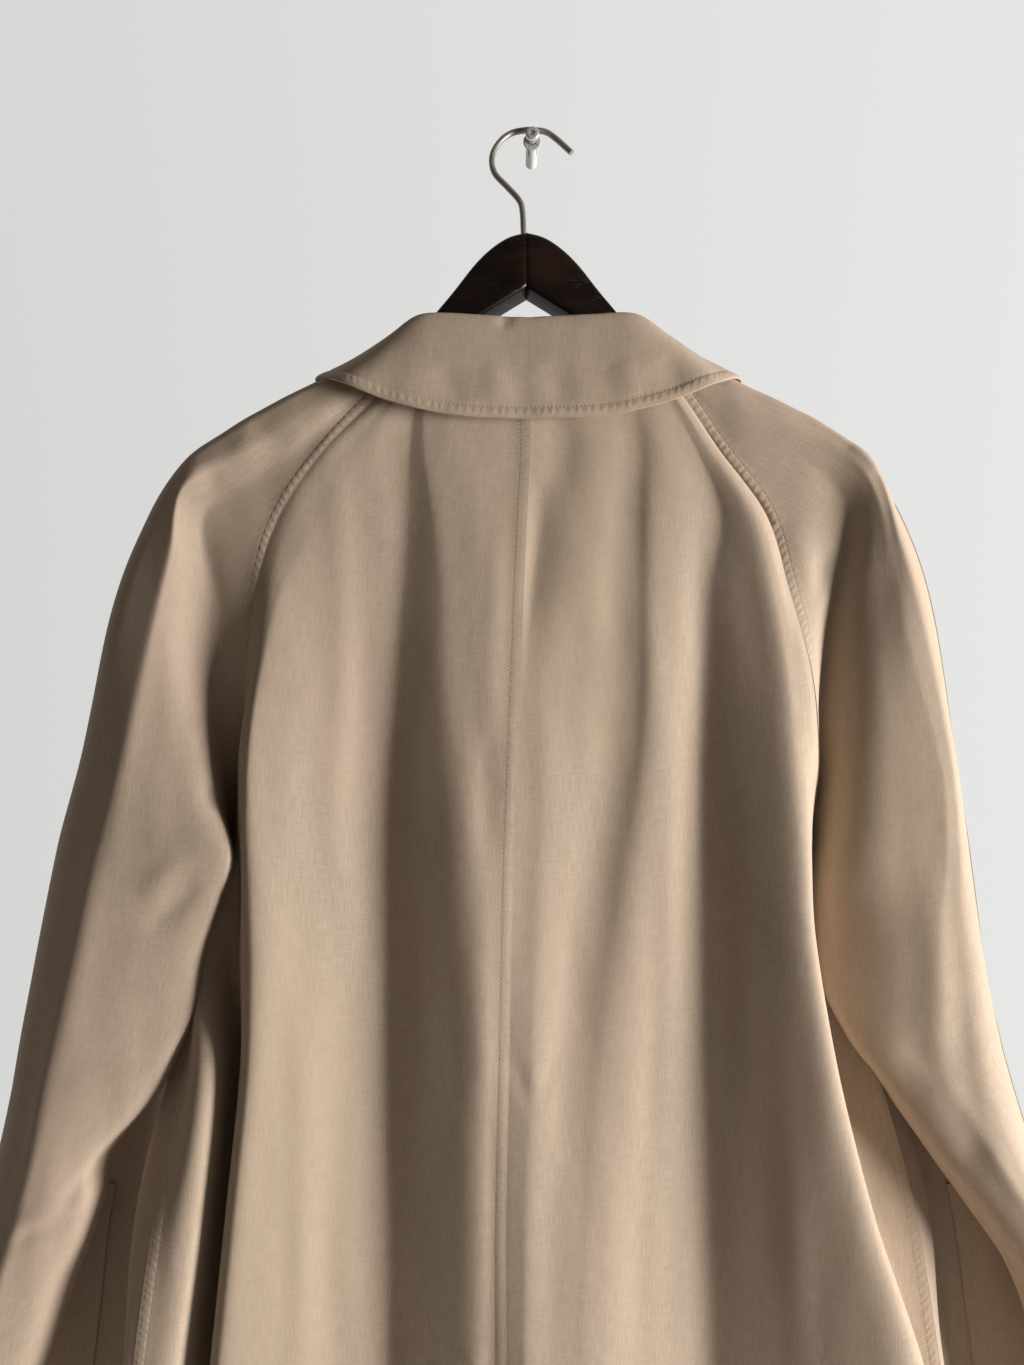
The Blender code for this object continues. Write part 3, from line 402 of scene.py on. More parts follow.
def behindRidge(table, side, wrap=11.0, drop=1.5, reach=8.0):
    # the cloth lies rounded over the ridge, to a corner on its wall side
    here = table.spot("ridge", sleeveLevels)
    lower = [table.at("ridge" + part, sleeveLevels - reach) for part in ("X", "Z")]
    upper = [table.at("ridge" + part, sleeveLevels + reach) for part in ("X", "Z")]
    run = unit(np.stack([lower[0] - upper[0], lower[1] - upper[1]], axis=-1))
    inward = np.stack([-side * run[:, 1], np.zeros(len(run)), side * run[:, 0]], axis=-1) * drop
    across = np.array([0.0, wrap, 0.0])
    return here - inward + across


def sleeveGrids(table, back, front, side):
    corner = {}
    for name in ("valley", "lip", "crest", "outer", "ridge", "wall"):
        corner[name] = table.spot(name, sleeveLevels)
    corner["far"] = behindRidge(table, side)
    inner = places(table.at("innerX", sleeveLevels), table.at("innerOff", sleeveLevels), sleeveLevels)
    above = (sleeveLevels > underarm)[:, None]
    for name, body, shift in (("back", back, backShift), ("front", front, frontShift)):
        x = body.at("seamX", sleeveLevels)
        seam = places(x, body.at("seamOff", sleeveLevels), sleeveLevels + shift(x, sleeveLevels))
        corner[name] = np.where(above, seam, inner)
    grids = []
    for roundTable, cells in ((sleeveBackRound, "sleeveBack"), (sleeveFrontRound, "sleeveFront")):
        corners = np.stack([corner[name] for name in roundTable.names], axis=1)
        rounds = np.stack([roundTable.at(name, sleeveLevels) for name in roundTable.names], axis=1)
        grids.append(foldedGrid(corners, rounds, panelCells[cells]))
    return grids


def readReliefs(text):
    reliefs = []
    for line in text.strip().splitlines():
        height, widths, *points = [[float(part) for part in cell.split("/")] for cell in line.split()]
        reliefs.append((*height, *widths, points))
    return reliefs


# soft troughs and ridges laid over the folds: height (minus is a trough), width on the
# left/right of a line, and the line's places x/z as seen from the camera's side
bodyReliefs = readReliefs("""
0.8   8/9   -122/-250  -116/-350   -119/-460   -113/-560
0.7   6/9   -142/-560  -140/-700   -146/-860
-0.8  9/12  -120/-640  -124/-800   -131/-1000
0.9   10/9  -158/-900  -166/-1040  -178/-1190
-0.7  6/8   -28/-400   -30/-440    -27/-480
0.6   6/7   -22/-250   -24/-330    -28/-400
-1.3  10/8  -29/-600   -27/-700    -25/-820
0.9   8/8   -56/-760   -58/-900    -60/-1080
-1.0  5/8   3/-240     0/-285      -5/-330
0.9   7/8   84/-420    82/-520     78/-640
-0.9  7/9   74/-560    66/-700     62/-860
-0.8  8/8   114/-420   115/-520    117/-640
0.9   9/9   146/-560   154/-700    166/-860
-1.0  9/9   150/-860   160/-1000   168/-1180
-0.6  4/5   -15/-590   -8/-606     0/-628
-0.5  4/4   14/-588    8/-604      1/-626
-1.2  5/4   -44/-776   -36/-781    -28/-776
0.9   4/5   -43/-770   -36/-775    -29/-771
""")
sleeveReliefs = readReliefs("""
-0.8  7/8  -178/-213  -166/-215  -150/-222
0.5   8/8  -188/-221  -178/-224  -164/-230
-0.9  7/7  -203/-234  -200/-244  -198/-254
0.5   6/6  -206/-230  -212/-236  -217/-243
1.3   6/6  196/-221   206/-229   212/-240
1.4   8/9  158/-270   165/-292   170/-316
-1.6  6/7  180/-286   179/-300   176/-316
-0.4  8/8  204/-300   206/-340   210/-380
-0.4  7/9  -222/-330  -230/-390  -238/-440
1.0   8/8  -262/-440  -270/-520  -286/-600
-1.4  6/6  -196/-428  -193/-437  -190/-446
1.5   7/7  -206/-470  -222/-486  -236/-496
-1.6  7/7  -202/-486  -216/-504  -232/-516
-1.5  3/4  -312/-706  -304/-700  -290/-696  -272/-695
1.2   5/5  -314/-697  -302/-690  -284/-685
-1.5  4/4  -284/-683  -276/-674  -270/-666
-1.2  8/9  -300/-560  -306/-620  -314/-680
1.1   8/9  -276/-600  -288/-660  -300/-720
-1.1  9/9  240/-450   250/-520   258/-600
1.0   8/9  262/-560   276/-640   300/-700
-0.9  8/9  224/-586   238/-596   250/-610
-0.8  8/9  270/-636   264/-652   262/-668
-1.2  9/8  320/-740   336/-780   352/-830
-1.1  8/8  -352/-750  -368/-800  -384/-850
""")
frontReliefs = readReliefs("""
-1.6  12/14  -110/-240  -118/-360  -124/-480
1.5   12/12  -70/-260   -78/-380   -84/-520
-1.3  10/12  -140/-560  -150/-720  -160/-900
1.5   12/14  -206/-620  -220/-800  -232/-1000
-1.2  12/12  -262/-760  -272/-920  -280/-1120
1.4   12/12  100/-250   112/-380   116/-500
-1.5  12/13  64/-280    72/-400    78/-540
1.2   11/12  150/-600   160/-760   170/-930
-1.4  12/14  216/-680   228/-840   240/-1020
1.2   12/12  276/-780   288/-940   296/-1130
-1.6  9/10   -196/-250  -222/-300  -238/-360
1.3   10/10  -214/-330  -240/-420  -262/-520
-2.0  8/9    -330/-690  -310/-684  -288/-682
-1.5  9/10   180/-250   206/-300   224/-360
1.3   10/10  206/-330   228/-420   246/-520
-2.0  8/9    318/-676   300/-668   276/-664
1.3   10/10  -360/-740  -376/-790  -390/-850
1.2   10/10  338/-740   356/-790   372/-850
""")


def smoothLine(points, steps=8):
    # a smooth line through the places
    points = [np.array(p, float) for p in points]
    line = []
    for k in range(len(points) - 1):
        before = points[max(k - 1, 0)]
        a = points[k]
        b = points[k + 1]
        after = points[min(k + 2, len(points) - 1)]
        for t in np.arange(steps) / steps:
            line.append(0.5 * (2 * a + (b - before) * t + (2 * before - 5 * a + 4 * b - after) * t * t
                               + (3 * a - before - 3 * b + after) * t ** 3))
    line.append(points[-1])
    return np.array(line)


def reliefHeight(reliefs, x, z, reachOut=2.6, taperPower=0.7):
    height = np.zeros_like(x)
    for depth, left, right, points in reliefs:
        line = smoothLine(points)
        reach = reachOut * max(left, right)
        near = ((x > line[:, 0].min() - reach) & (x < line[:, 0].max() + reach)
                & (z > line[:, 1].min() - reach) & (z < line[:, 1].max() + reach))
        if not near.any():
            continue
        spot = np.stack([x[near], z[near]], axis=-1)
        best = np.full(len(spot), 1e9)
        side = np.zeros(len(spot))
        share = np.zeros(len(spot))
        lengths = lengthsAlong(line)
        for k in range(len(line) - 1):
            run = line[k + 1] - line[k]
            size = np.linalg.norm(run)
            t = np.clip((spot - line[k]) @ run / size ** 2, 0.0, 1.0)
            away = spot - (line[k] + t[:, None] * run)
            distance = np.linalg.norm(away, axis=1)
            closer = distance < best
            best = np.where(closer, distance, best)
            side = np.where(closer, run[0] * away[:, 1] - run[1] * away[:, 0], side)
            share = np.where(closer, (lengths[k] + t * size) / lengths[-1], share)
        # seen along the line, as it runs down, a positive side lies on its right
        width = np.where(side > 0, right, left)
        taper = np.sin(np.pi * np.clip(share, 0.0, 1.0)) ** taperPower
        height[near] += depth * taper * np.exp(-(best / width) ** 2)
    return height


waveSizes = {"seed": 11, "count": 14, "across": (24.0, 80.0), "down": (160.0, 700.0), "tilt": (-0.12, 0.12),
             "depthShare": 0.6}


def unevenness(points):
    # long shallow waves, closer together across the cloth than down it
    s = waveSizes
    dice = np.random.default_rng(s["seed"])
    x, y, z = points[..., 0], points[..., 1], points[..., 2]
    height = np.zeros(x.shape)
    for _ in range(s["count"]):
        across = dice.uniform(*s["across"])
        down = dice.uniform(*s["down"])
        tilt = dice.uniform(*s["tilt"])
        phase = dice.uniform(0, 2 * np.pi)
        run = x + tilt * z + s["depthShare"] * y
        height += np.sin(2 * np.pi * run / across + phase) * np.sin(2 * np.pi * z / down + 2 * phase)
    return height / math.sqrt(s["count"])


class Panel:
    # a grid of places: rows run down the coat, and each row runs anticlockwise round it from above
    def __init__(self, grid):
        self.grid = grid
        self.normals = self.facing(grid)
        self.thickness = np.full(grid.shape[:2], clothSizes["thickness"])
        self.underLap = None

    @staticmethod
    def facing(grid):
        down = np.empty_like(grid)
        down[1:-1] = grid[2:] - grid[:-2]
        down[0] = grid[1] - grid[0]
        down[-1] = grid[-1] - grid[-2]
        along = np.empty_like(grid)
        along[:, 1:-1] = grid[:, 2:] - grid[:, :-2]
        along[:, 0] = grid[:, 1] - grid[:, 0]
        along[:, -1] = grid[:, -1] - grid[:, -2]
        return unit(np.cross(down, along))

    def measure(self):
        # u runs along each row from its middle column, v runs down; both in mm
        steps = np.linalg.norm(np.diff(self.grid, axis=1), axis=2)
        self.fromStart = np.concatenate([np.zeros((len(steps), 1)), np.cumsum(steps, axis=1)], axis=1)
        self.fromEnd = self.fromStart[:, -1:] - self.fromStart
        drops = np.linalg.norm(np.diff(self.grid, axis=0), axis=2)
        self.down = np.concatenate([np.zeros((1, drops.shape[1])), np.cumsum(drops, axis=0)], axis=0)
        middle = self.grid.shape[1] // 2
        self.across = self.fromStart - self.fromStart[:, middle:middle + 1]

    def relieve(self, backReliefs, frontReliefs):
        x = self.grid[..., 0]
        z = self.grid[..., 2]
        toBack = smoothStep(*clothSizes["turnFade"], -self.normals[..., 1])
        toFront = smoothStep(*clothSizes["turnFade"], self.normals[..., 1])
        height = reliefHeight(backReliefs, x, z) * toBack + reliefHeight(frontReliefs, x, z) * toFront
        height += unevenness(self.grid) * clothSizes["softness"]
        self.grid = self.grid + self.normals * height[..., None]

    def awayFrom(self, side):
        # how far each place is from that edge
        if side == "bottom":
            return self.down[-1:] - self.down
        return self.fromStart if side == "start" else self.fromEnd

    def moveEdge(self, side, rows, distance):
        column, beside = (0, 1) if side == "start" else (-1, -2)
        outward = unit(self.grid[rows, column] - self.grid[rows, beside])
        self.grid[rows, column] += outward * distance

    def lap(self, side, rows=slice(None)):
        # this edge lies over its neighbour, thinner, with a puffed band up to its row of stitches
        s = clothSizes
        distance = self.awayFrom(side)[rows]
        width = s["lapWidth"]
        band = 1 - smoothStep(width + s["lapFade"][0], width + s["lapFade"][1], distance)
        puff = s["lapPuff"] * np.sin(np.pi * np.clip(distance / width, 0, 1))
        groove = -s["lapGroove"] * np.exp(-((distance - width) / s["lapGrooveWidth"]) ** 2)
        rise = s["lapRise"] * band + puff + groove
        self.grid[rows] += self.normals[rows] * rise[..., None]
        self.thickness[rows] -= (s["thickness"] - s["lapThin"]) * (1 - smoothStep(*s["lapThinned"], distance))
        self.moveEdge(side, rows, s["lapReach"])

    def stopShort(self, side, rows=slice(None)):
        self.moveEdge(side, rows, -clothSizes["butt"])

    def hem(self):
        # the turned edge at the bottom is a little thicker, with a groove at its stitches
        s = clothSizes
        rise = self.awayFrom("bottom")
        band = 1 - smoothStep(s["hemWidth"] - s["hemFade"], s["hemWidth"] + s["hemFade"], rise)
        groove = -s["hemGroove"] * np.exp(-((rise - s["hemWidth"]) / s["hemGrooveWidth"]) ** 2)
        self.grid += self.normals * (s["hemRise"] * band * 0.5 + groove)[..., None]
        self.thickness += s["hemRise"] * band

    def build(self, name, seams, hemWidth=clothSizes["hemWidth"]):
        # seams: {side: how much the cloth puckers along it}
        rows, columns = self.grid.shape[:2]
        outer = self.grid * mm
        inner = outer - self.normals * (self.thickness * mm)[..., None]
        vertices = np.concatenate([outer.reshape(-1, 3), inner.reshape(-1, 3)])
        index = np.arange(rows * columns).reshape(rows, columns)
        under = index + rows * columns
        a, b, c, d = index[:-1, :-1], index[1:, :-1], index[1:, 1:], index[:-1, 1:]
        faces = [np.stack([a, b, c, d], axis=-1).reshape(-1, 4)]
        a, b, c, d = under[:-1, :-1], under[:-1, 1:], under[1:, 1:], under[1:, :-1]
        faces.append(np.stack([a, b, c, d], axis=-1).reshape(-1, 4))
        rims = ((index[:-1, 0], under[:-1, 0], under[1:, 0], index[1:, 0]),
                (index[:-1, -1], index[1:, -1], under[1:, -1], under[:-1, -1]),
                (index[0, :-1], index[0, 1:], under[0, 1:], under[0, :-1]),
                (index[-1, :-1], under[-1, :-1], under[-1, 1:], index[-1, 1:]))
        for rim in rims:
            faces.append(np.stack(rim, axis=-1).reshape(-1, 4))
        mesh = bpy.data.meshes.new(name)
        mesh.from_pydata(vertices.tolist(), [], np.concatenate(faces).tolist())
        mesh.shade_smooth()
        mesh.set_sharp_from_angle(angle=math.radians(60))
        self.paintOn(mesh, seams, hemWidth)
        return addPiece(name, mesh, clothPaint)

    def paintOn(self, mesh, seams, hemWidth):
        # the map follows the weave in metres; seamAway and seamRun lead the puckers, the stitches and the
        # painted shade at the seam's edge
        far = np.full(self.grid.shape[:2], 1.0)
        run = self.down * mm
        pucker = np.zeros(self.grid.shape[:2])
        for side in seams:
            strength = np.full(self.grid.shape[:2], seams[side])
            if side == self.underLap:
                strength[:underarmRow] = 0.0
            away = self.awayFrom(side) * mm
            line = self.down
            if side == "bottom":
                away = away - (hemWidth - clothSizes["lapWidth"]) * mm
                away = np.where(away < -0.001, 1.0, np.maximum(away, 0.0))
                line = self.across
            away = np.where(strength > 0, away, away + 0.02)
            run = np.where(away < far, line * mm, run)
            pucker = np.where(away < far, strength, pucker)
            far = np.minimum(far, away)
        for label, values in (("seamAway", far), ("seamRun", run), ("seamPucker", pucker)):
            data = mesh.attributes.new(label, "FLOAT", "POINT")
            data.data.foreach_set("value", np.concatenate([values.ravel()] * 2).astype(np.float32))
        weave = np.stack([self.across * mm, -self.down * mm], axis=-1).reshape(-1, 2)
        weave = np.concatenate([weave, weave])
        loops = np.empty(len(mesh.loops), np.int32)
        mesh.loops.foreach_get("vertex_index", loops)
        layer = mesh.uv_layers.new(name="weave")
        layer.data.foreach_set("uv", weave[loops].astype(np.float32).ravel())

    def seamLine(self, side, away, rows=slice(None)):
        # a line of places and normals at that distance from an edge, in metres
        measure = self.awayFrom(side)
        grid = self.grid
        normals = self.normals
        if side == "bottom":
            measure = measure.T
            grid = grid.transpose(1, 0, 2)
            normals = normals.transpose(1, 0, 2)
        points = []
        facing = []
        for spot, direction, distance in zip(grid[rows], normals[rows], measure[rows]):
            order = np.argsort(distance)
            points.append([np.interp(away, distance[order], spot[order, i]) for i in range(3)])
            facing.append([np.interp(away, distance[order], direction[order, i]) for i in range(3)])
        return np.array(points) * mm, unit(np.array(facing))

    def area(self):
        a = self.grid[:-1, :-1]
        across = self.grid[:-1, 1:] - a
        down = self.grid[1:, :-1] - a
        return float(np.linalg.norm(np.cross(across, down), axis=-1).sum()) * mm * mm

    def cut(self):
        return float(self.fromStart[:, -1].max()) * mm, float(self.down[-1].max()) * mm


def shareNormals(one, other, rows):
    # the last column of one panel meets the first column of the other
    common = unit(one.normals[rows, -1] + other.normals[rows, 0])
    one.normals[rows, -1] = common
    other.normals[rows, 0] = common


def addPiece(name, mesh, material):
    piece = bpy.data.objects.new(name, mesh)
    mesh.materials.append(material)
    bpy.context.scene.collection.objects.link(piece)
    return piece


# materials

class Number:
    # wraps a socket, so that a formula makes its Math nodes
    def __init__(self, nodes, socket):
        self.nodes = nodes
        self.socket = socket

    def maths(self, operation, *others):
        return self.nodes.node("ShaderNodeMath", {"operation": operation}, dict(enumerate((self, *others))))

    def __add__(self, other):
        return self.maths("ADD", other)

    def __sub__(self, other):
        return self.maths("SUBTRACT", other)

    def __mul__(self, other):
        return self.maths("MULTIPLY", other)

    def __radd__(self, other):
        return self.maths("ADD", other)

    def __rmul__(self, other):
        return self.maths("MULTIPLY", other)

    def __rsub__(self, other):
        return self.nodes.node("ShaderNodeMath", {"operation": "SUBTRACT"}, {0: other, 1: self})

    def step(self, low, high):
        # 0 below low and 1 above high, smoothly
        return self.nodes.node("ShaderNodeMapRange", {"interpolation_type": "SMOOTHSTEP"},
                               {"Value": self, "From Min": low, "From Max": high})


class Nodes:
    # the nodes of a material or of the world, which end in its shader
    def __init__(self, tree, shader):
        self.tree = tree
        self.shader = tree.nodes[shader]

    @staticmethod
    def fill(socket, value):
        socket.default_value = (*value, 1.0) if socket.type == "RGBA" else value

    def link(self, value, label):
        self.tree.links.new(value.socket, self.shader.inputs[label])

    def node(self, kind, settings, sockets, output=0):
        made = self.tree.nodes.new(kind)
        for label, value in settings.items():
            setattr(made, label, value)
        for label, value in sockets.items():
            if isinstance(value, Number):
                self.tree.links.new(value.socket, made.inputs[label])
            else:
                self.fill(made.inputs[label], value)
        return Number(self, made.outputs[output])

    def mix(self, factor, a, b):
        return self.node("ShaderNodeMix", {"data_type": "RGBA"}, {0: factor, 6: a, 7: b}, 2)


class Paint(Nodes):
    # one material
    def __init__(self, name, constants):
        self.material = bpy.data.materials.new(name)
        self.material.use_nodes = True
        super().__init__(self.material.node_tree, "Principled BSDF")
        for label, value in constants.items():
            self.fill(self.shader.inputs[label], value)

    def place(self):
        return self.node("ShaderNodeTexCoord", {}, {}, "Object")

    def attribute(self, name):
        return self.node("ShaderNodeAttribute", {"attribute_name": name}, {}, "Fac")

    def scaled(self, vector, scale, turn=(0.0, 0.0, 0.0)):
        return self.node("ShaderNodeMapping", {}, {"Vector": vector, "Scale": scale, "Rotation": turn})

    def noise(self, vector, scale, detail, rough):
        return self.node("ShaderNodeTexNoise", {},
                         {"Vector": vector, "Scale": scale, "Detail": detail, "Roughness": rough})

    def cloud(self, vector, scale, detail, rough):
        return self.noise(self.scaled(vector, scale), 1.0, detail, rough)

    def bump(self, height, distance, strength=1.0, under=None):
        sockets = {"Height": height, "Distance": distance, "Strength": strength}
        if under is not None:
            sockets["Normal"] = under
        return self.node("ShaderNodeBump", {}, sockets)


gabardine = {
    "base": (0.455, 0.352, 0.268),
    "dark": (0.375, 0.284, 0.210),
    "pale": (0.530, 0.424, 0.330),
    "pink": (0.480, 0.345, 0.275),
    "yellow": (0.460, 0.362, 0.255),
    "twillPitch": 0.0007,
    "threadWidth": 0.0005,
    "threadLength": 0.013,
    "puckerPitch": 0.0052,
    "stitchPitch": 0.0025,
    # painted shade for a seam's edge and its stitch dimples
    "seamPaintedShade": (0.20, 0.14, 0.085),
}


def paintGabardine():
    g = gabardine
    p = Paint("cottonGabardine", {"Roughness": 0.85, "Specular IOR Level": 0.18, "Sheen Weight": 0.08,
                                  "Sheen Roughness": 0.5, "Sheen Tint": (0.95, 0.88, 0.76)})
    weave = p.node("ShaderNodeUVMap", {"uv_map": "weave"}, {})
    place = p.place()
    warp = p.cloud(weave, (1 / g["threadWidth"], 1 / g["threadLength"], 1.0), 2.0, 0.6)
    weft = p.cloud(weave, (1 / g["threadLength"], 1 / g["threadWidth"], 1.0), 2.0, 0.6)
    streaks = warp * 0.6 + weft * 0.4
    slubs = p.cloud(weave, (1 / 0.003, 1 / 0.05, 1.0), 2.0, 0.5)
    clouds = p.cloud(place, (14.0, 14.0, 5.0), 2.0, 0.5)
    tints = p.cloud(place, (9.0, 9.0, 3.0), 1.0, 0.5)
    colour = p.mix(streaks.step(0.38, 0.62), g["dark"], g["pale"])
    colour = p.mix(0.45, colour, g["base"])
    colour = p.mix(slubs.step(0.55, 0.75) * 0.14, colour, g["dark"])
    colour = p.mix(tints.step(0.50, 0.66) * 0.40, colour, g["pink"])
    colour = p.mix((1 - tints).step(0.54, 0.70) * 0.35, colour, g["yellow"])
    colour = p.mix(clouds.step(0.35, 0.75) * 0.10, colour, g["dark"])

    away = p.attribute("seamAway")
    run = p.attribute("seamRun")
    along = p.node("ShaderNodeCombineXYZ", {}, {"X": run * 1000.0, "Y": away * 60.0})
    wobble = p.noise(along, 0.09, 1.0, 0.5)
    phase = run * (2 * math.pi / g["puckerPitch"]) + wobble * 7.0
    pucker = phase.maths("SINE") * 0.5 + 0.5
    unevenPucker = (p.noise(along, 0.12, 1.0, 0.5).step(0.2, 0.8) * 0.6 + 0.4) * p.attribute("seamPucker")
    insideBand = (1 - away.step(0.0040, 0.0062)) * away.step(0.0004, 0.0022)
    beyondBand = away.step(0.0055, 0.0072) * (1 - away.step(0.0065, 0.0115))
    stitchPhase = (run * (2 * math.pi / g["stitchPitch"])).maths("SINE") * 0.5 + 0.5
    stitchLine = away.step(0.0050, 0.0058) * (1 - away.step(0.0060, 0.0068))
    dimple = stitchLine * stitchPhase
    # painted shade: the cloth is darkened right at the seam's edge and in the stitch dimples, where shade
    # falls
    seamPaintedShade = (1 - away.step(0.0, 0.0007)) * 0.14 + dimple * 0.06
    colour = p.mix(seamPaintedShade, colour, g["seamPaintedShade"])
    p.link(colour, "Base Color")

    twillTurn = p.scaled(weave, (1.0, 1.0, 1.0), (0.0, 0.0, math.radians(-63)))
    twill = p.node("ShaderNodeTexWave", {"bands_direction": "X"},
                   {"Vector": twillTurn, "Scale": 1 / g["twillPitch"] / 3.2, "Distortion": 0.6,
                    "Detail": 1.0})
    grain = p.bump(twill * 0.5 + streaks * 0.8, 0.00016, 0.4)
    rumple = p.cloud(weave, (45.0, 16.0, 1.0), 3.0, 0.5)
    soft = p.bump(rumple, 0.0010, 0.35, grain)
    gather = pucker * unevenPucker * insideBand + pucker * unevenPucker * beyondBand * 0.3 - dimple * 0.25
    p.link(p.bump(gather, 0.00044, 0.85, soft), "Normal")
    return p.material


def paintThread():
    p = Paint("sewingThread", {"Roughness": 0.6, "Specular IOR Level": 0.35, "Sheen Weight": 0.2})
    twist = p.node("ShaderNodeTexWave", {"bands_direction": "DIAGONAL"},
                   {"Vector": p.place(), "Scale": 900.0, "Distortion": 0.0})
    p.link(p.mix(twist, (0.33, 0.25, 0.16), (0.50, 0.41, 0.28)), "Base Color")
    return p.material


lacquer = {"dark": (0.006, 0.003, 0.0025), "warm": (0.021, 0.0085, 0.0055), "scratch": (0.13, 0.09, 0.07)}


def paintLacquer():
    p = Paint("lacqueredWood", {"Specular IOR Level": 0.22, "Coat Weight": 0.1, "Coat Roughness": 0.16})
    place = p.place()
    grain = p.cloud(place, (18.0, 30.0, 44.0), 3.0, 0.55)
    colour = p.mix(grain.step(0.35, 0.7), lacquer["dark"], lacquer["warm"])
    scratchTurn = p.scaled(place, (160.0, 160.0, 2600.0), (0.0, math.radians(18), 0.0))
    lines = p.noise(scratchTurn, 1.0, 1.0, 0.4).step(0.66, 0.71)
    patch = p.cloud(place, (38.0, 38.0, 38.0), 1.0, 0.5).step(0.52, 0.62)
    scratches = lines * patch
    p.link(p.mix(scratches * 0.55, colour, lacquer["scratch"]), "Base Color")
    dust = p.cloud(place, (420.0, 420.0, 420.0), 2.0, 0.6)
    p.link(0.26 + grain * 0.10 + scratches * 0.35 + dust * 0.06, "Roughness")
    ripple = p.cloud(place, (60.0, 60.0, 140.0), 2.0, 0.5)
    p.link(p.bump(ripple - scratches * 0.4, 0.0004, 0.35), "Normal")
    return p.material


# the patchy hard finishes: the noise's scale, detail and roughness, then the rest
patchyFinishes = {
    "bronzedWire": {"constants": {"Metallic": 0.55}, "noise": ((120.0, 120.0, 120.0), 3.0, 0.6),
                    "span": (0.35, 0.7), "colours": ((0.27, 0.245, 0.215), (0.35, 0.325, 0.29)),
                    "roughness": (0.38, 0.16), "bump": 0.3},
    "zincPlate": {"constants": {"Metallic": 0.6}, "noise": ((900.0, 900.0, 900.0), 3.0, 0.6),
                  "span": (0.3, 0.75), "colours": ((0.55, 0.55, 0.53), (0.78, 0.78, 0.76)),
                  "roughness": (0.2, 0.22), "bump": 0.0},
    "plugPlastic": {"constants": {"Specular IOR Level": 0.4}, "noise": ((500.0, 500.0, 500.0), 3.0, 0.6),
                    "span": (0.3, 0.8), "colours": ((0.66, 0.65, 0.62), (0.55, 0.54, 0.51)),
                    "roughness": (0.4, 0.15), "bump": 0.3},
    "hornButton": {"constants": {"Coat Weight": 0.3, "Coat Roughness": 0.2},
                   "noise": ((260.0, 120.0, 90.0), 4.0, 0.65),
                   "span": (0.35, 0.7), "colours": ((0.055, 0.028, 0.014), (0.21, 0.12, 0.06)),
                   "roughness": (0.22, 0.2), "bump": 0.0},
}


def paintPatchy(name):
    finish = patchyFinishes[name]
    p = Paint(name, finish["constants"])
    scale, detail, rough = finish["noise"]
    patches = p.cloud(p.place(), scale, detail, rough)
    p.link(p.mix(patches.step(*finish["span"]), *finish["colours"]), "Base Color")
    low, spread = finish["roughness"]
    p.link(low + patches * spread, "Roughness")
    if finish["bump"]:
        p.link(p.bump(patches, 0.0002, finish["bump"]), "Normal")
    return p.material


clothPaint = paintGabardine()
threadPaint = paintThread()
woodPaint = paintLacquer()
wirePaint = paintPatchy("bronzedWire")
zincPaint = paintPatchy("zincPlate")
plugPaint = paintPatchy("plugPlastic")
hornPaint = paintPatchy("hornButton")
print("materials made")


# stitches

stitchSizes = {"pitch": 0.0026, "length": 0.0019, "width": 0.00042, "height": 0.00030, "sink": 0.00010,
               "halfSpan": 0.0008, "unevenness": 0.0001, "dip": 0.35, "proud": 0.25}


def stitchShape():
    # one short stitch along X, made from a sphere: its ends dip into the cloth
    bpy.ops.object.select_all(action="DESELECT")
    bpy.ops.mesh.primitive_uv_sphere_add(segments=6, ring_count=5, radius=0.5, rotation=(0, math.pi / 2, 0))
    bead = bpy.context.object
    bpy.ops.object.transform_apply(location=True, rotation=True, scale=True)
    points = np.array([v.co for v in bead.data.vertices])
    faces = [list(f.vertices) for f in bead.data.polygons]
    bpy.data.objects.remove(bead, do_unlink=True)
    s = stitchSizes
    points = points * np.array([s["length"], s["width"], s["height"]])
    points[:, 2] -= s["dip"] * s["height"] * (np.abs(points[:, 0]) / (s["length"] / 2)) ** 2
    points[:, 2] += s["height"] * s["proud"] - s["sink"]
    return points, faces


beadPoints, beadFaces = stitchShape()


def stitchRow(name, lines):
    # one object of beads along each line
    s = stitchSizes
    dice = random.Random(name)
    points = []
    faces = []
    for spots, normals in lines:
        lengths = lengthsAlong(spots)
        for k in range(int(lengths[-1] / s["pitch"])):
            middle = (k + 0.5) * s["pitch"] + dice.uniform(-s["unevenness"], s["unevenness"])
            ends = [np.array([np.interp(middle + d, lengths, spots[:, i]) for i in range(3)])
                    for d in (-s["halfSpan"], s["halfSpan"])]
            normal = np.array([np.interp(middle, lengths, normals[:, i]) for i in range(3)])
            along = unit(ends[1] - ends[0])
            side = unit(np.cross(normal, along))
            up = np.cross(along, side)
            start = len(points) * len(beadPoints)
            points.append((ends[0] + ends[1]) / 2 + beadPoints @ np.stack([along, side, up]))
            faces += [[start + i for i in face] for face in beadFaces]
    mesh = bpy.data.meshes.new(name)
    mesh.from_pydata(np.concatenate(points).tolist(), [], faces)
    mesh.shade_smooth()
    return addPiece(name, mesh, threadPaint)


# the coat's panels

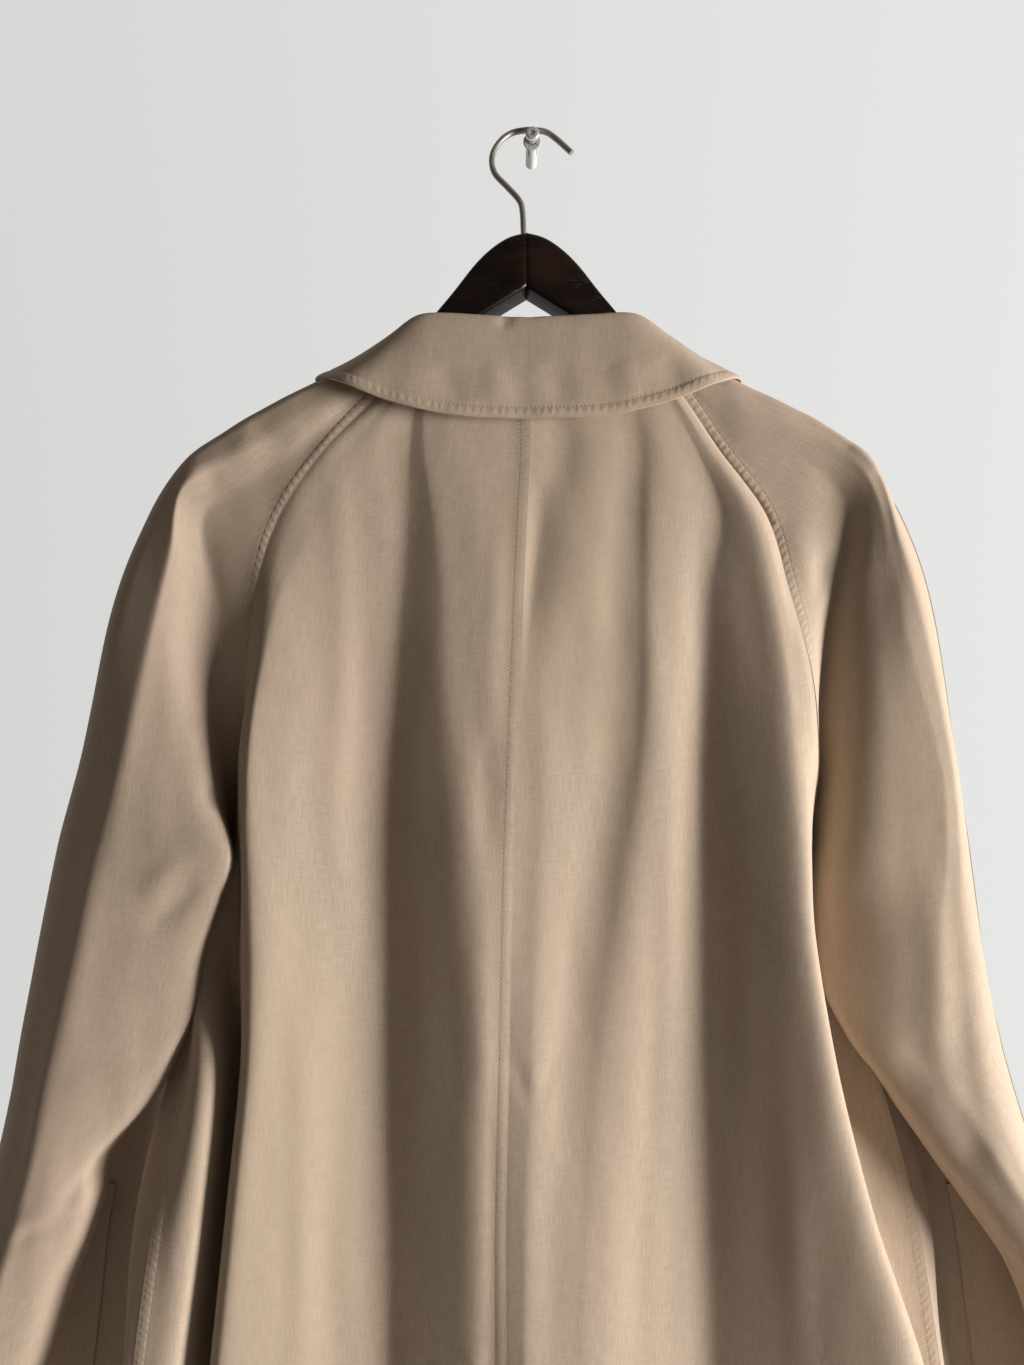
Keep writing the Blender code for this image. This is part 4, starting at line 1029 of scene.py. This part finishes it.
def makeCoat():
    grids = {
        "backLeft": bodyGrid(backLeft, backLeftRound, backShift, panelCells["backLeft"]),
        "backRight": bodyGrid(backRight, backRightRound, backShift, panelCells["backRight"]),
        "frontLeft": bodyGrid(frontLeft, frontRound, frontShift, panelCells["front"])[:, ::-1],
        "frontRight": bodyGrid(frontRight, frontRound, frontShift, panelCells["front"]),
    }
    back, front = sleeveGrids(sleeveLeft, backLeft, frontLeft, -1)
    grids["sleeveBackLeft"] = back[:, ::-1]
    grids["sleeveFrontLeft"] = front[:, ::-1]
    grids["sleeveBackRight"], grids["sleeveFrontRight"] = sleeveGrids(sleeveRight, backRight, frontRight, 1)
    panels = {name: Panel(grid) for name, grid in grids.items()}

    raglan = slice(0, underarmRow)
    below = slice(underarmRow, None)
    everyRow = slice(None)
    joins = (
        ("backLeft", "backRight", everyRow),
        ("sleeveBackLeft", "backLeft", raglan),
        ("backRight", "sleeveBackRight", raglan),
        ("sleeveFrontRight", "frontRight", raglan),
        ("frontLeft", "sleeveFrontLeft", raglan),
        ("sleeveFrontLeft", "sleeveBackLeft", everyRow),
        ("sleeveBackRight", "sleeveFrontRight", everyRow),
        ("sleeveBackLeft", "sleeveFrontLeft", below),
        ("sleeveFrontRight", "sleeveBackRight", below),
        ("frontLeft", "backLeft", below),
        ("backRight", "frontRight", below),
    )

    def join():
        for one, other, rows in joins:
            shareNormals(panels[one], panels[other], rows)

    join()
    for name, panel in panels.items():
        panel.measure()
        reliefs = sleeveReliefs if name.startswith("sleeve") else bodyReliefs
        panel.relieve(reliefs, frontReliefs)
        panel.normals = Panel.facing(panel.grid)
    join()

    # which edge lies on top at each seam
    panels["backLeft"].lap("end")
    panels["backRight"].stopShort("start")
    for side, mine, theirs in (("Left", "end", "start"), ("Right", "start", "end")):
        panels["sleeveBack" + side].lap(mine)
        panels["back" + side].underLap = theirs
        panels["back" + side].stopShort(theirs, raglan)
        panels["back" + side].lap(theirs, slice(underarmRow + 1, None))
        panels["front" + side].stopShort(mine)
        panels["sleeveFront" + side].lap(theirs, raglan)
        panels["sleeveFront" + side].stopShort(theirs, slice(underarmRow, None))
        panels["sleeveBack" + side].stopShort(theirs)
        panels["sleeveFront" + side].lap(mine)
    for panel in panels.values():
        panel.hem()
    return panels


panels = makeCoat()
print("coat's panels folded")

# the edges with a row of stitches: how much the cloth puckers there, and the stitched rows
centreRows = slice(3, -2)
sideRows = slice(underarmRow + 4, -2)
frontRows = slice(20, -2)
raglanRows = slice(3, underarmRow - 2)
hemRows = slice(1, -1)
hemPucker = 0.4
stitchedEdges = {
    "backLeft": (("end", 0.25, centreRows), ("start", 0.8, sideRows)),
    "backRight": (("end", 0.6, sideRows),),
    "frontLeft": (("start", 0.4, frontRows),),
    "frontRight": (("end", 0.3, frontRows),),
    "sleeveBackLeft": (("end", 1.0, raglanRows),),
    "sleeveBackRight": (("start", 0.8, raglanRows),),
    "sleeveFrontLeft": (("start", 0.7, raglanRows),),
    "sleeveFrontRight": (("end", 0.7, raglanRows),),
}
clothPieces = {}
for name, panel in panels.items():
    puckers = {side: pucker for side, pucker, rows in stitchedEdges[name]}
    clothPieces[name] = panel.build(name, {**puckers, "bottom": hemPucker})
print("coat's panels made")

stitchPieces = {}
for name, edges in stitchedEdges.items():
    lines = [panels[name].seamLine(side, clothSizes["lapWidth"], rows) for side, pucker, rows in edges]
    lines.append(panels[name].seamLine("bottom", clothSizes["hemWidth"], hemRows))
    stitchPieces[name] = stitchRow(name + "Stitches", lines)
print("topstitching laid")


# the collar

collarSizes = {"rollWidth": 5.2, "rollRise": 1.0, "belly": 2.0, "standShort": 3.0, "columns": 84,
               "band": 7.0, "bandFade": 1.0, "bandRise": 0.35, "groove": 0.35, "grooveWidth": 1.1,
               "edgeDrop": 0.5, "edgeRoll": 1.6, "pucker": 0.42,
               "standCells": (6,), "fallCells": (5, 14, 20), "fallRounds": (0.0, 0.3, 0.5, 0.0)}


def collarGrids():
    s = collarSizes
    half = np.linspace(0, neckSizes["lastStation"], s["columns"] + 1)
    stations = np.concatenate([half[::-1], half[1:]])
    side = np.concatenate([-np.ones(s["columns"] + 1), np.ones(s["columns"])])
    side[s["columns"]] = 1.0
    facing = np.radians(collarTable.at("facing", stations))
    outward = np.stack([side * np.sin(facing), -np.cos(facing), np.zeros(len(side))], axis=-1)
    spots = []
    for name in ("seam", "fold", "edge"):
        x = coatCentre + side * collarTable.at(name + "X", stations)
        spots.append(places(x, collarTable.at(name + "Off", stations), collarTable.at(name + "Z", stations)))
    seam, fold, edge = spots
    over = fold + outward * s["rollWidth"]
    lift = np.array([0.0, 0.0, s["rollRise"]])
    belly = (over + edge) / 2 + outward * s["belly"] * np.abs(np.cos(facing))[:, None]
    top = fold + unit(seam - fold) * s["standShort"]
    standCorners = np.stack([seam, top], axis=1)
    fallCorners = np.stack([fold + lift, over + lift, belly, edge], axis=1)
    stand = foldedGrid(standCorners, np.zeros((len(stations), 2)), s["standCells"])
    fallRounds = np.tile(s["fallRounds"], (len(stations), 1))
    fall = foldedGrid(fallCorners, fallRounds, s["fallCells"])
    return stand.transpose(1, 0, 2)[::-1], fall.transpose(1, 0, 2)


collarReliefs = readReliefs("""
-1.3  3/3  -16/-137  -17/-143  -21/-150
-0.9  8/8  -60/-176  -52/-186  -42/-198
0.8   8/8  -28/-172  -24/-184  -22/-200
-0.8  8/9  8/-174    14/-186   18/-200
0.8   9/9  52/-172   58/-182   64/-194
-1.0  8/8  78/-170   84/-178   92/-188
""")


def makeCollar():
    s = collarSizes
    standGrid, fallGrid = collarGrids()
    stand = Panel(standGrid.copy())
    stand.measure()
    fall = Panel(fallGrid.copy())
    fall.measure()
    fall.relieve(collarReliefs, [])
    fall.normals = Panel.facing(fall.grid)
    # the band between the row of stitches and the edge is a little fuller
    away = fall.awayFrom("bottom")
    band = s["bandRise"] * (1 - smoothStep(s["band"] - s["bandFade"], s["band"] + s["bandFade"], away))
    groove = -s["groove"] * np.exp(-((away - s["band"]) / s["grooveWidth"]) ** 2)
    edgeRoll = -s["edgeDrop"] * (1 - smoothStep(0.0, s["edgeRoll"], away))
    fall.grid += fall.normals * (band + groove + edgeRoll)[..., None]
    clothPieces["collarFall"] = fall.build("collarFall", {"bottom": s["pucker"]}, s["band"])
    clothPieces["collarStand"] = stand.build("collarStand", {})
    stitchPieces["collarFall"] = stitchRow("collarFallStitches", [fall.seamLine("bottom", s["band"])])
    panels["collarStand"] = stand
    panels["collarFall"] = fall


makeCollar()
print("collar made")


# pocket welts: each lies on its front, a little proud of it

weltSizes = {"top": -689.9, "bottom": -863.0, "gap": 0.3, "stitchesIn": 4.0, "pucker": 0.4,
             "columns": {"Left": slice(-25, -14), "Right": slice(12, 23)}}


def makeWelts():
    s = weltSizes
    for side, columns in s["columns"].items():
        source = panels["front" + side]
        rows = (bodyLevels <= s["top"]) & (bodyLevels >= s["bottom"])
        welt = Panel(source.grid[rows][:, columns].copy())
        welt.normals = source.normals[rows][:, columns].copy()
        welt.grid += welt.normals * (clothSizes["thickness"] + s["gap"])
        welt.measure()
        name = "pocketWelt" + side
        panels[name] = welt
        clothPieces[name] = welt.build(name, {"start": s["pucker"], "end": s["pucker"]})
        lines = [welt.seamLine(edge, s["stitchesIn"], hemRows) for edge in ("start", "end")]
        stitchPieces[name] = stitchRow(name + "Stitches", lines)


makeWelts()
print("pocket welts made")


# the hanger, its hook, and the screw and plug that carry it

hangerSizes = {"centre": -4.5, "tilt": math.radians(16.5), "pivotOff": 35.0, "pivotZ": -94.0, "reach": 206.0,
               "sweep": 44.0, "sweepPower": 1.6, "sides": 40, "squareness": 0.26, "gap": 0.02, "rings": 70,
               "ringPower": 1.15, "mitreStep": 0.35, "mitreBreak": 0.22}
hangerTable = Table("""
x    top     bottom  thick
0    -79.8   -119.7  18
12   -83.4   -127.7  18
24   -92.2   -135.7  18
34   -103.4  -142.4  18
46   -120.4  -150.5  17.5
60   -139    -160    17
74   -160.5  -179.5  16
88   -174.5  -193    15
116  -184    -203.5  15
150  -194.5  -214    15
180  -211    -230    14.5
198  -220.5  -236.5  13.5
206  -226    -234.5  9
""")


def hangerOff(z, x):
    s = hangerSizes
    sweep = s["sweep"] * (abs(x) / s["reach"]) ** s["sweepPower"]
    return s["pivotOff"] + (s["pivotZ"] - z) * math.tan(s["tilt"]) - sweep


def makeHanger():
    s = hangerSizes
    pieces = {}
    for name, side in (("hangerLeft", -1), ("hangerRight", 1)):
        bm = bmesh.new()
        rings = []
        spots = s["reach"] * (1 - (1 - np.linspace(0, 1, s["rings"])) ** s["ringPower"])
        spots = np.concatenate([[0.0, s["mitreStep"]], spots[1:]])
        for x in spots:
            top = float(hangerTable.at("top", x))
            bottom = float(hangerTable.at("bottom", x))
            thick = float(hangerTable.at("thick", x)) / 2
            groove = s["mitreBreak"] if x == 0 else 0.0
            lean = s["tilt"]
            ring = []
            for k in range(s["sides"]):
                angle = 2 * math.pi * k / s["sides"]
                across = math.copysign(abs(math.cos(angle)) ** s["squareness"], math.cos(angle))
                up = math.copysign(abs(math.sin(angle)) ** s["squareness"], math.sin(angle))
                middle = (top + bottom) / 2
                rise = ((top - bottom) / 2 / math.cos(lean) - groove) * up
                forward = (thick - groove) * across
                off = hangerOff(middle, x) - rise * math.sin(lean) + forward * math.cos(lean)
                z = middle + rise * math.cos(lean) + forward * math.sin(lean)
                place = (s["centre"] + side * (x + s["gap"]), -off, z)
                ring.append(bm.verts.new(Vector(place) * mm))
            rings.append(ring)
        for a, b in zip(rings, rings[1:]):
            for k in range(s["sides"]):
                after = (k + 1) % s["sides"]
                bm.faces.new((a[k], a[after], b[after], b[k]))
        bm.faces.new(rings[0])
        bm.faces.new(rings[-1])
        bmesh.ops.recalc_face_normals(bm, faces=bm.faces)
        mesh = bpy.data.meshes.new(name)
        bm.to_mesh(mesh)
        bm.free()
        mesh.shade_smooth()
        mesh.set_sharp_from_angle(angle=math.radians(40))
        pieces[name] = addPiece(name, mesh, woodPaint)
    return pieces


hangerPieces = makeHanger()
print("hanger made")

hookSizes = {"radius": 0.002, "chamfer": 0.0006, "restOff": 6.0, "restZ": 4.7, "stepsBetween": 7}
hookPath = ((-5.4, -86.0), (-6.1, -74.0), (-6.7, -59.8), (-8.7, -50.6), (-16.8, -39.9), (-24.4, -30.6),
            (-27.1, -21.9), (-26.1, -12.5), (-21.1, -3.4), (-13.7, 2.6), (-4.4, 4.9), (1.2, 4.7),
            (9.0, 3.5), (16.0, -2.0), (26.3, -13.1))


def selectOnly(piece):
    bpy.ops.object.select_all(action="DESELECT")
    bpy.context.view_layer.objects.active = piece
    piece.select_set(True)


def bentWire(name, paths, radius, roundness, material):
    # round wire or thread along each path, as one mesh
    curve = bpy.data.curves.new(name, "CURVE")
    curve.dimensions = "3D"
    curve.bevel_depth = radius
    curve.bevel_resolution = roundness
    curve.use_fill_caps = True
    for spots in paths:
        spline = curve.splines.new("POLY")
        spline.points.add(len(spots) - 1)
        for point, place in zip(spline.points, spots):
            point.co = (*place, 1.0)
    piece = bpy.data.objects.new(name, curve)
    bpy.context.scene.collection.objects.link(piece)
    selectOnly(piece)
    bpy.ops.object.convert(target="MESH")
    piece = bpy.context.object
    piece.data.materials.clear()
    piece.data.materials.append(material)
    return piece


def makeHook():
    s = hookSizes
    line = smoothLine(hookPath, s["stepsBetween"])
    spots = [(x * mm, -(s["restOff"] + (s["restZ"] - z) * math.tan(hangerSizes["tilt"])) * mm, z * mm)
             for x, z in line]
    piece = bentWire("hookWire", [spots], s["radius"], 4, wirePaint)
    mesh = piece.data
    # the free end is filed to a chamfer
    end = Vector(spots[-1])
    bpy.ops.object.mode_set(mode="EDIT")
    bpy.ops.mesh.select_mode(type="FACE")
    bpy.ops.mesh.select_all(action="SELECT")
    bpy.ops.mesh.remove_doubles(threshold=0.00001)
    bpy.ops.mesh.normals_make_consistent(inside=False)
    bpy.ops.mesh.select_all(action="DESELECT")
    bm = bmesh.from_edit_mesh(mesh)
    for face in bm.faces:
        face.select = len(face.verts) > 4 and (face.calc_center_median() - end).length < 0.001
    bmesh.update_edit_mesh(mesh)
    bpy.ops.mesh.bevel(offset=s["chamfer"], segments=2, affect="EDGES")
    bpy.ops.object.mode_set(mode="OBJECT")
    selectOnly(piece)
    bpy.ops.object.shade_smooth_by_angle(angle=math.radians(35))
    return piece


hookPiece = makeHook()
print("hook made")

screwSizes = {"headRadius": 0.0046, "headHeight": 0.0028, "headRound": 0.0013, "reach": 0.0124,
              "shankRadius": 0.0025, "depth": 0.027, "tip": 0.004, "recess": 0.0024, "recessDepth": 0.0016,
              "threadStart": -0.004, "threadPitch": 0.0012, "threadTurns": 22, "threadDepth": 0.8,
              "tipRadius": 0.0004}


def addCylinder(name, radius, near, far, sides):
    # a cylinder on the screw's axis from y = near to y = far
    bpy.ops.object.select_all(action="DESELECT")
    bpy.ops.mesh.primitive_cylinder_add(vertices=sides, radius=radius, depth=far - near,
                                        location=(0, (near + far) / 2, 0), rotation=(math.pi / 2, 0, 0))
    piece = bpy.context.object
    piece.name = name
    bpy.ops.object.transform_apply(location=True, rotation=True, scale=True)
    return piece


def applyModifier(piece, kind, **settings):
    selectOnly(piece)
    modifier = piece.modifiers.new(kind, kind)
    for label, value in settings.items():
        setattr(modifier, label, value)
    bpy.ops.object.modifier_apply(modifier=modifier.name)


def carve(piece, cutter):
    applyModifier(piece, "BOOLEAN", object=cutter, operation="DIFFERENCE", solver="EXACT")
    bpy.data.objects.remove(cutter, do_unlink=True)


def starCutter(radius, near, far, points=6, inward=0.7):
    cutter = addCylinder("recess", radius, near, far, 2 * points)
    for v in cutter.data.vertices:
        turn = round(math.degrees(math.atan2(v.co.z, v.co.x)) / (180 / points))
        if turn % 2:
            v.co.x *= inward
            v.co.z *= inward
    return cutter


def bevelRing(piece, y, radius, offset, segments):
    # rounds the edges that lie at that y and that far from the axis
    selectOnly(piece)
    bpy.ops.object.mode_set(mode="EDIT")
    bpy.ops.mesh.select_mode(type="EDGE")
    bpy.ops.mesh.select_all(action="DESELECT")
    bm = bmesh.from_edit_mesh(piece.data)
    for edge in bm.edges:
        edge.select = all(abs(v.co.y - y) < 1e-5
                          and abs(math.hypot(v.co.x, v.co.z) - radius) < radius * 0.03 for v in edge.verts)
    bmesh.update_edit_mesh(piece.data)
    bpy.ops.mesh.bevel(offset=offset, segments=segments, affect="EDGES")
    bpy.ops.object.mode_set(mode="OBJECT")


def finishHard(piece, material, angle=32):
    piece.data.materials.clear()
    piece.data.materials.append(material)
    selectOnly(piece)
    bpy.ops.object.mode_set(mode="EDIT")
    bpy.ops.mesh.select_all(action="SELECT")
    bpy.ops.mesh.remove_doubles(threshold=0.000005)
    bpy.ops.mesh.normals_make_consistent(inside=False)
    bpy.ops.object.mode_set(mode="OBJECT")
    bpy.ops.object.shade_smooth_by_angle(angle=math.radians(angle))
    return piece


def joined(pieces):
    bpy.ops.object.select_all(action="DESELECT")
    for piece in pieces:
        piece.select_set(True)
    bpy.context.view_layer.objects.active = pieces[0]
    bpy.ops.object.join()
    return bpy.context.object


def makeScrew():
    s = screwSizes
    under = -s["reach"] + s["headHeight"]
    head = addCylinder("wallScrew", s["headRadius"], -s["reach"], under, 48)
    bevelRing(head, -s["reach"], s["headRadius"], s["headRound"], 5)
    carve(head, starCutter(s["recess"], -s["reach"] - 0.001, -s["reach"] + s["recessDepth"]))
    shank = addCylinder("shank", s["shankRadius"], under - 0.0002, s["depth"] - s["tip"], 32)
    # the thread: the shank is cut into rings, and every other one is drawn in
    selectOnly(shank)
    bpy.ops.object.mode_set(mode="EDIT")
    bpy.ops.mesh.select_all(action="SELECT")
    for k in range(s["threadTurns"]):
        bpy.ops.mesh.bisect(plane_co=(0, s["threadStart"] + k * s["threadPitch"], 0), plane_no=(0, 1, 0))
        bpy.ops.mesh.select_all(action="SELECT")
    bpy.ops.object.mode_set(mode="OBJECT")
    for v in shank.data.vertices:
        along = v.co.y - s["threadStart"]
        turn = round(along / s["threadPitch"])
        if 0 <= turn < s["threadTurns"] and abs(along - turn * s["threadPitch"]) < 1e-5 and turn % 2:
            v.co.x *= s["threadDepth"]
            v.co.z *= s["threadDepth"]
    bpy.ops.object.select_all(action="DESELECT")
    bpy.ops.mesh.primitive_cone_add(vertices=32, radius1=s["shankRadius"], radius2=s["tipRadius"],
                                    depth=s["tip"], location=(0, s["depth"] - s["tip"] / 2, 0),
                                    rotation=(-math.pi / 2, 0, 0))
    tip = bpy.context.object
    bpy.ops.object.transform_apply(location=True, rotation=True, scale=True)
    return finishHard(joined([head, shank, tip]), zincPaint)


plugSizes = {"collarRadius": 0.006, "collarHeight": 0.0012, "collarRound": 0.0005, "radius": 0.004,
             "bore": 0.0028, "depth": 0.03, "slot": (0.0092, 0.015, 0.0009), "slotAt": 0.006, "slotTurn": 0.6}


def makePlug():
    s = plugSizes
    body = addCylinder("wallPlug", s["radius"], -0.0002, s["depth"], 40)
    collar = addCylinder("plugCollar", s["collarRadius"], -s["collarHeight"], 0.0, 48)
    bevelRing(collar, -s["collarHeight"], s["collarRadius"], s["collarRound"], 3)
    applyModifier(collar, "BOOLEAN", object=body, operation="UNION", solver="EXACT")
    bpy.data.objects.remove(body, do_unlink=True)
    carve(collar, addCylinder("bore", s["bore"], -0.003, s["depth"] + 0.001, 40))
    for turn in (s["slotTurn"], s["slotTurn"] + math.pi / 2):
        # the mouth is split crosswise
        bpy.ops.object.select_all(action="DESELECT")
        bpy.ops.mesh.primitive_cube_add(size=1, location=(0, s["slotAt"], 0), rotation=(0, turn, 0),
                                        scale=s["slot"])
        slot = bpy.context.object
        bpy.ops.object.transform_apply(location=True, rotation=True, scale=True)
        carve(collar, slot)
    collar.name = "wallPlug"
    return finishHard(collar, plugPaint)


screwPiece = makeScrew()
plugPiece = makePlug()
print("screw and plug made")


# buttons on the wall side of the left front

buttonSizes = {"radius": 0.011, "height": 0.0035, "levels": (-310, -430, -550, -670, -790), "hole": 0.0010,
               "holeAt": 0.0019, "gap": 0.00045, "frontRound": 0.0012, "backRound": 0.0008, "dishShare": 0.66,
               "dishDepth": 0.0007, "thread": 0.0003, "threadApart": 0.00035}
# the thread's way from one hole to the next: along z, and its rise over the dish
threadWay = ((-0.0023, -0.0016), (-0.0018, 0.0002), (0, 0.0006), (0.0018, 0.0002), (0.0023, -0.0016))


def buttonShape():
    s = buttonSizes
    half = s["height"] / 2
    button = addCylinder("button", s["radius"], -half, half, 48)
    bevelRing(button, half, s["radius"], s["frontRound"], 4)
    bevelRing(button, -half, s["radius"], s["backRound"], 3)
    dish = addCylinder("dish", s["radius"] * s["dishShare"], half - s["dishDepth"], half + 0.002, 48)
    carve(button, dish)
    for x, z in ((1, 1), (-1, 1), (1, -1), (-1, -1)):
        hole = addCylinder("hole", s["hole"], -0.004, 0.004, 12)
        for v in hole.data.vertices:
            v.co.x += x * s["holeAt"]
            v.co.z += z * s["holeAt"]
        carve(button, hole)
    return finishHard(button, hornPaint, 40)


def makeButtons():
    pattern = buttonShape()
    s = buttonSizes
    pieces = []
    threads = []
    for index, level in enumerate(s["levels"], 1):
        piece = bpy.data.objects.new("button%d" % index, pattern.data.copy())
        bpy.context.scene.collection.objects.link(piece)
        off = float(frontLeft.at("stripOff", level)) * mm
        centre = Vector((coatCentre * mm, -off + s["gap"] + s["height"] / 2, level * mm))
        for v in piece.data.vertices:
            v.co += centre
        pieces.append(piece)
        loops = []
        for x in (-1, 1):
            for shift in (-s["threadApart"], s["threadApart"]):
                along = x * s["holeAt"] + shift
                front = s["height"] / 2 - s["dishDepth"]
                loops.append([centre + Vector((along, front + rise, z)) for z, rise in threadWay])
        threads.append(bentWire("button%dThread" % index, loops, s["thread"], 1, threadPaint))
    bpy.data.objects.remove(pattern, do_unlink=True)
    return pieces, threads


buttonPieces, threadPieces = makeButtons()
print("buttons made")


def nodeName(name):
    # the CAD node that a piece stands for: back_left for backLeft, button_1 for button1
    letters = ["_" + letter.lower() if letter.isupper() or letter.isdigit() else letter for letter in name]
    return "".join(letters)


finishes = (("beige_gabardine", clothPieces.values()), ("dark_lacquered_wood", hangerPieces.values()),
            ("bronzed_wire", [hookPiece]), ("zinc_plate", [screwPiece]), ("pale_plug", [plugPiece]),
            ("brown_button", buttonPieces))
for finish, pieces in finishes:
    for piece in pieces:
        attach(piece, "root")
        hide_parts(nodeName(piece.name))
for piece in [*stitchPieces.values(), *threadPieces]:
    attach(piece, "root")

for name, panel in panels.items():
    width, length = panel.cut()
    round(panel.area(), 4)
    "hangerLeft" if "Left" in name else "hangerRight"


# floor, light and camera

studio = {
    "floorZ": -1.30,
    "floorRadius": 0.9,
    "floorThickness": 0.01,
    "floorY": -0.06,
    "floorColour": (0.78, 0.76, 0.72),
    "wallLeft": (0.67, 0.67, 0.66),
    "wallRight": (0.80, 0.80, 0.79),
    "roomColour": (0.112, 0.101, 0.088),
    "wallSpan": (-0.45, 0.45),         # in a direction's x, from the one to the other
    "roomFade": (-0.1, 0.5),           # in its y, from the room to the wall
    "keyAim": (0.0, -0.08, -0.45),
    "keyAngle": 71.0,          # degrees from the camera's side towards the right
    "keyHeight": -3.0,         # degrees above the coat's middle
    "keyDistance": 3.0,
    "keySize": 1.2,
    "keyPower": 188.0,
    "keyColour": (1.0, 0.985, 0.955),
    "cameraPlace": (-0.0137, -0.710, -0.369),
    "sensor": 36.0,
    "focalShare": 1040.0 / 1365.0,     # of the sensor, over the picture's height
}


def makeStudio():
    s = studio
    bpy.ops.object.select_all(action="DESELECT")
    bpy.ops.mesh.primitive_cylinder_add(vertices=96, radius=s["floorRadius"], depth=s["floorThickness"],
                                        location=(0, s["floorY"], s["floorZ"] - s["floorThickness"] / 2))
    floor = bpy.context.object
    floor.name = "floor"
    bpy.ops.object.transform_apply(location=True, rotation=True, scale=True)
    p = Paint("floorPaint", {"Base Color": s["floorColour"], "Roughness": 0.7})
    floor.data.materials.append(p.material)

    # the wall is pale and lighter to the right, and the room behind the camera is dim
    world = bpy.data.worlds.new("studio")
    world.use_nodes = True
    bpy.context.scene.world = world
    sky = Nodes(world.node_tree, "Background")
    direction = sky.node("ShaderNodeTexCoord", {}, {}, "Generated")
    x = sky.node("ShaderNodeSeparateXYZ", {}, {0: direction}, "X")
    y = sky.node("ShaderNodeSeparateXYZ", {}, {0: direction}, "Y")
    low, high = s["wallSpan"]
    toRight = sky.node("ShaderNodeMapRange", {}, {"Value": x, "From Min": low, "From Max": high})
    wall = sky.mix(toRight, s["wallLeft"], s["wallRight"])
    colour = sky.mix(y.step(*s["roomFade"]), s["roomColour"], wall)
    sky.link(colour, "Color")

    angle = math.radians(s["keyAngle"])
    height = math.radians(s["keyHeight"])
    away = Vector((math.sin(angle) * math.cos(height), -math.cos(angle) * math.cos(height), math.sin(height)))
    lamp = bpy.data.lights.new("key", "AREA")
    lamp.shape = "DISK"
    lamp.size = s["keySize"]
    lamp.energy = s["keyPower"]
    lamp.color = s["keyColour"]
    key = bpy.data.objects.new("key", lamp)
    key.location = Vector(s["keyAim"]) + away * s["keyDistance"]
    key.rotation_euler = away.to_track_quat("Z", "Y").to_euler()
    bpy.context.scene.collection.objects.link(key)

    lens = bpy.data.cameras.new("camera")
    lens.sensor_width = s["sensor"]
    lens.lens = s["sensor"] * s["focalShare"]
    lens.clip_start = 0.02
    lens.clip_end = 30.0
    camera = bpy.data.objects.new("camera", lens)
    camera.location = s["cameraPlace"]
    camera.rotation_euler = (math.pi / 2, 0.0, 0.0)
    bpy.context.scene.collection.objects.link(camera)
    bpy.context.scene.camera = camera
    bpy.context.scene.view_settings.view_transform = "Standard"


makeStudio()
print("studio made")
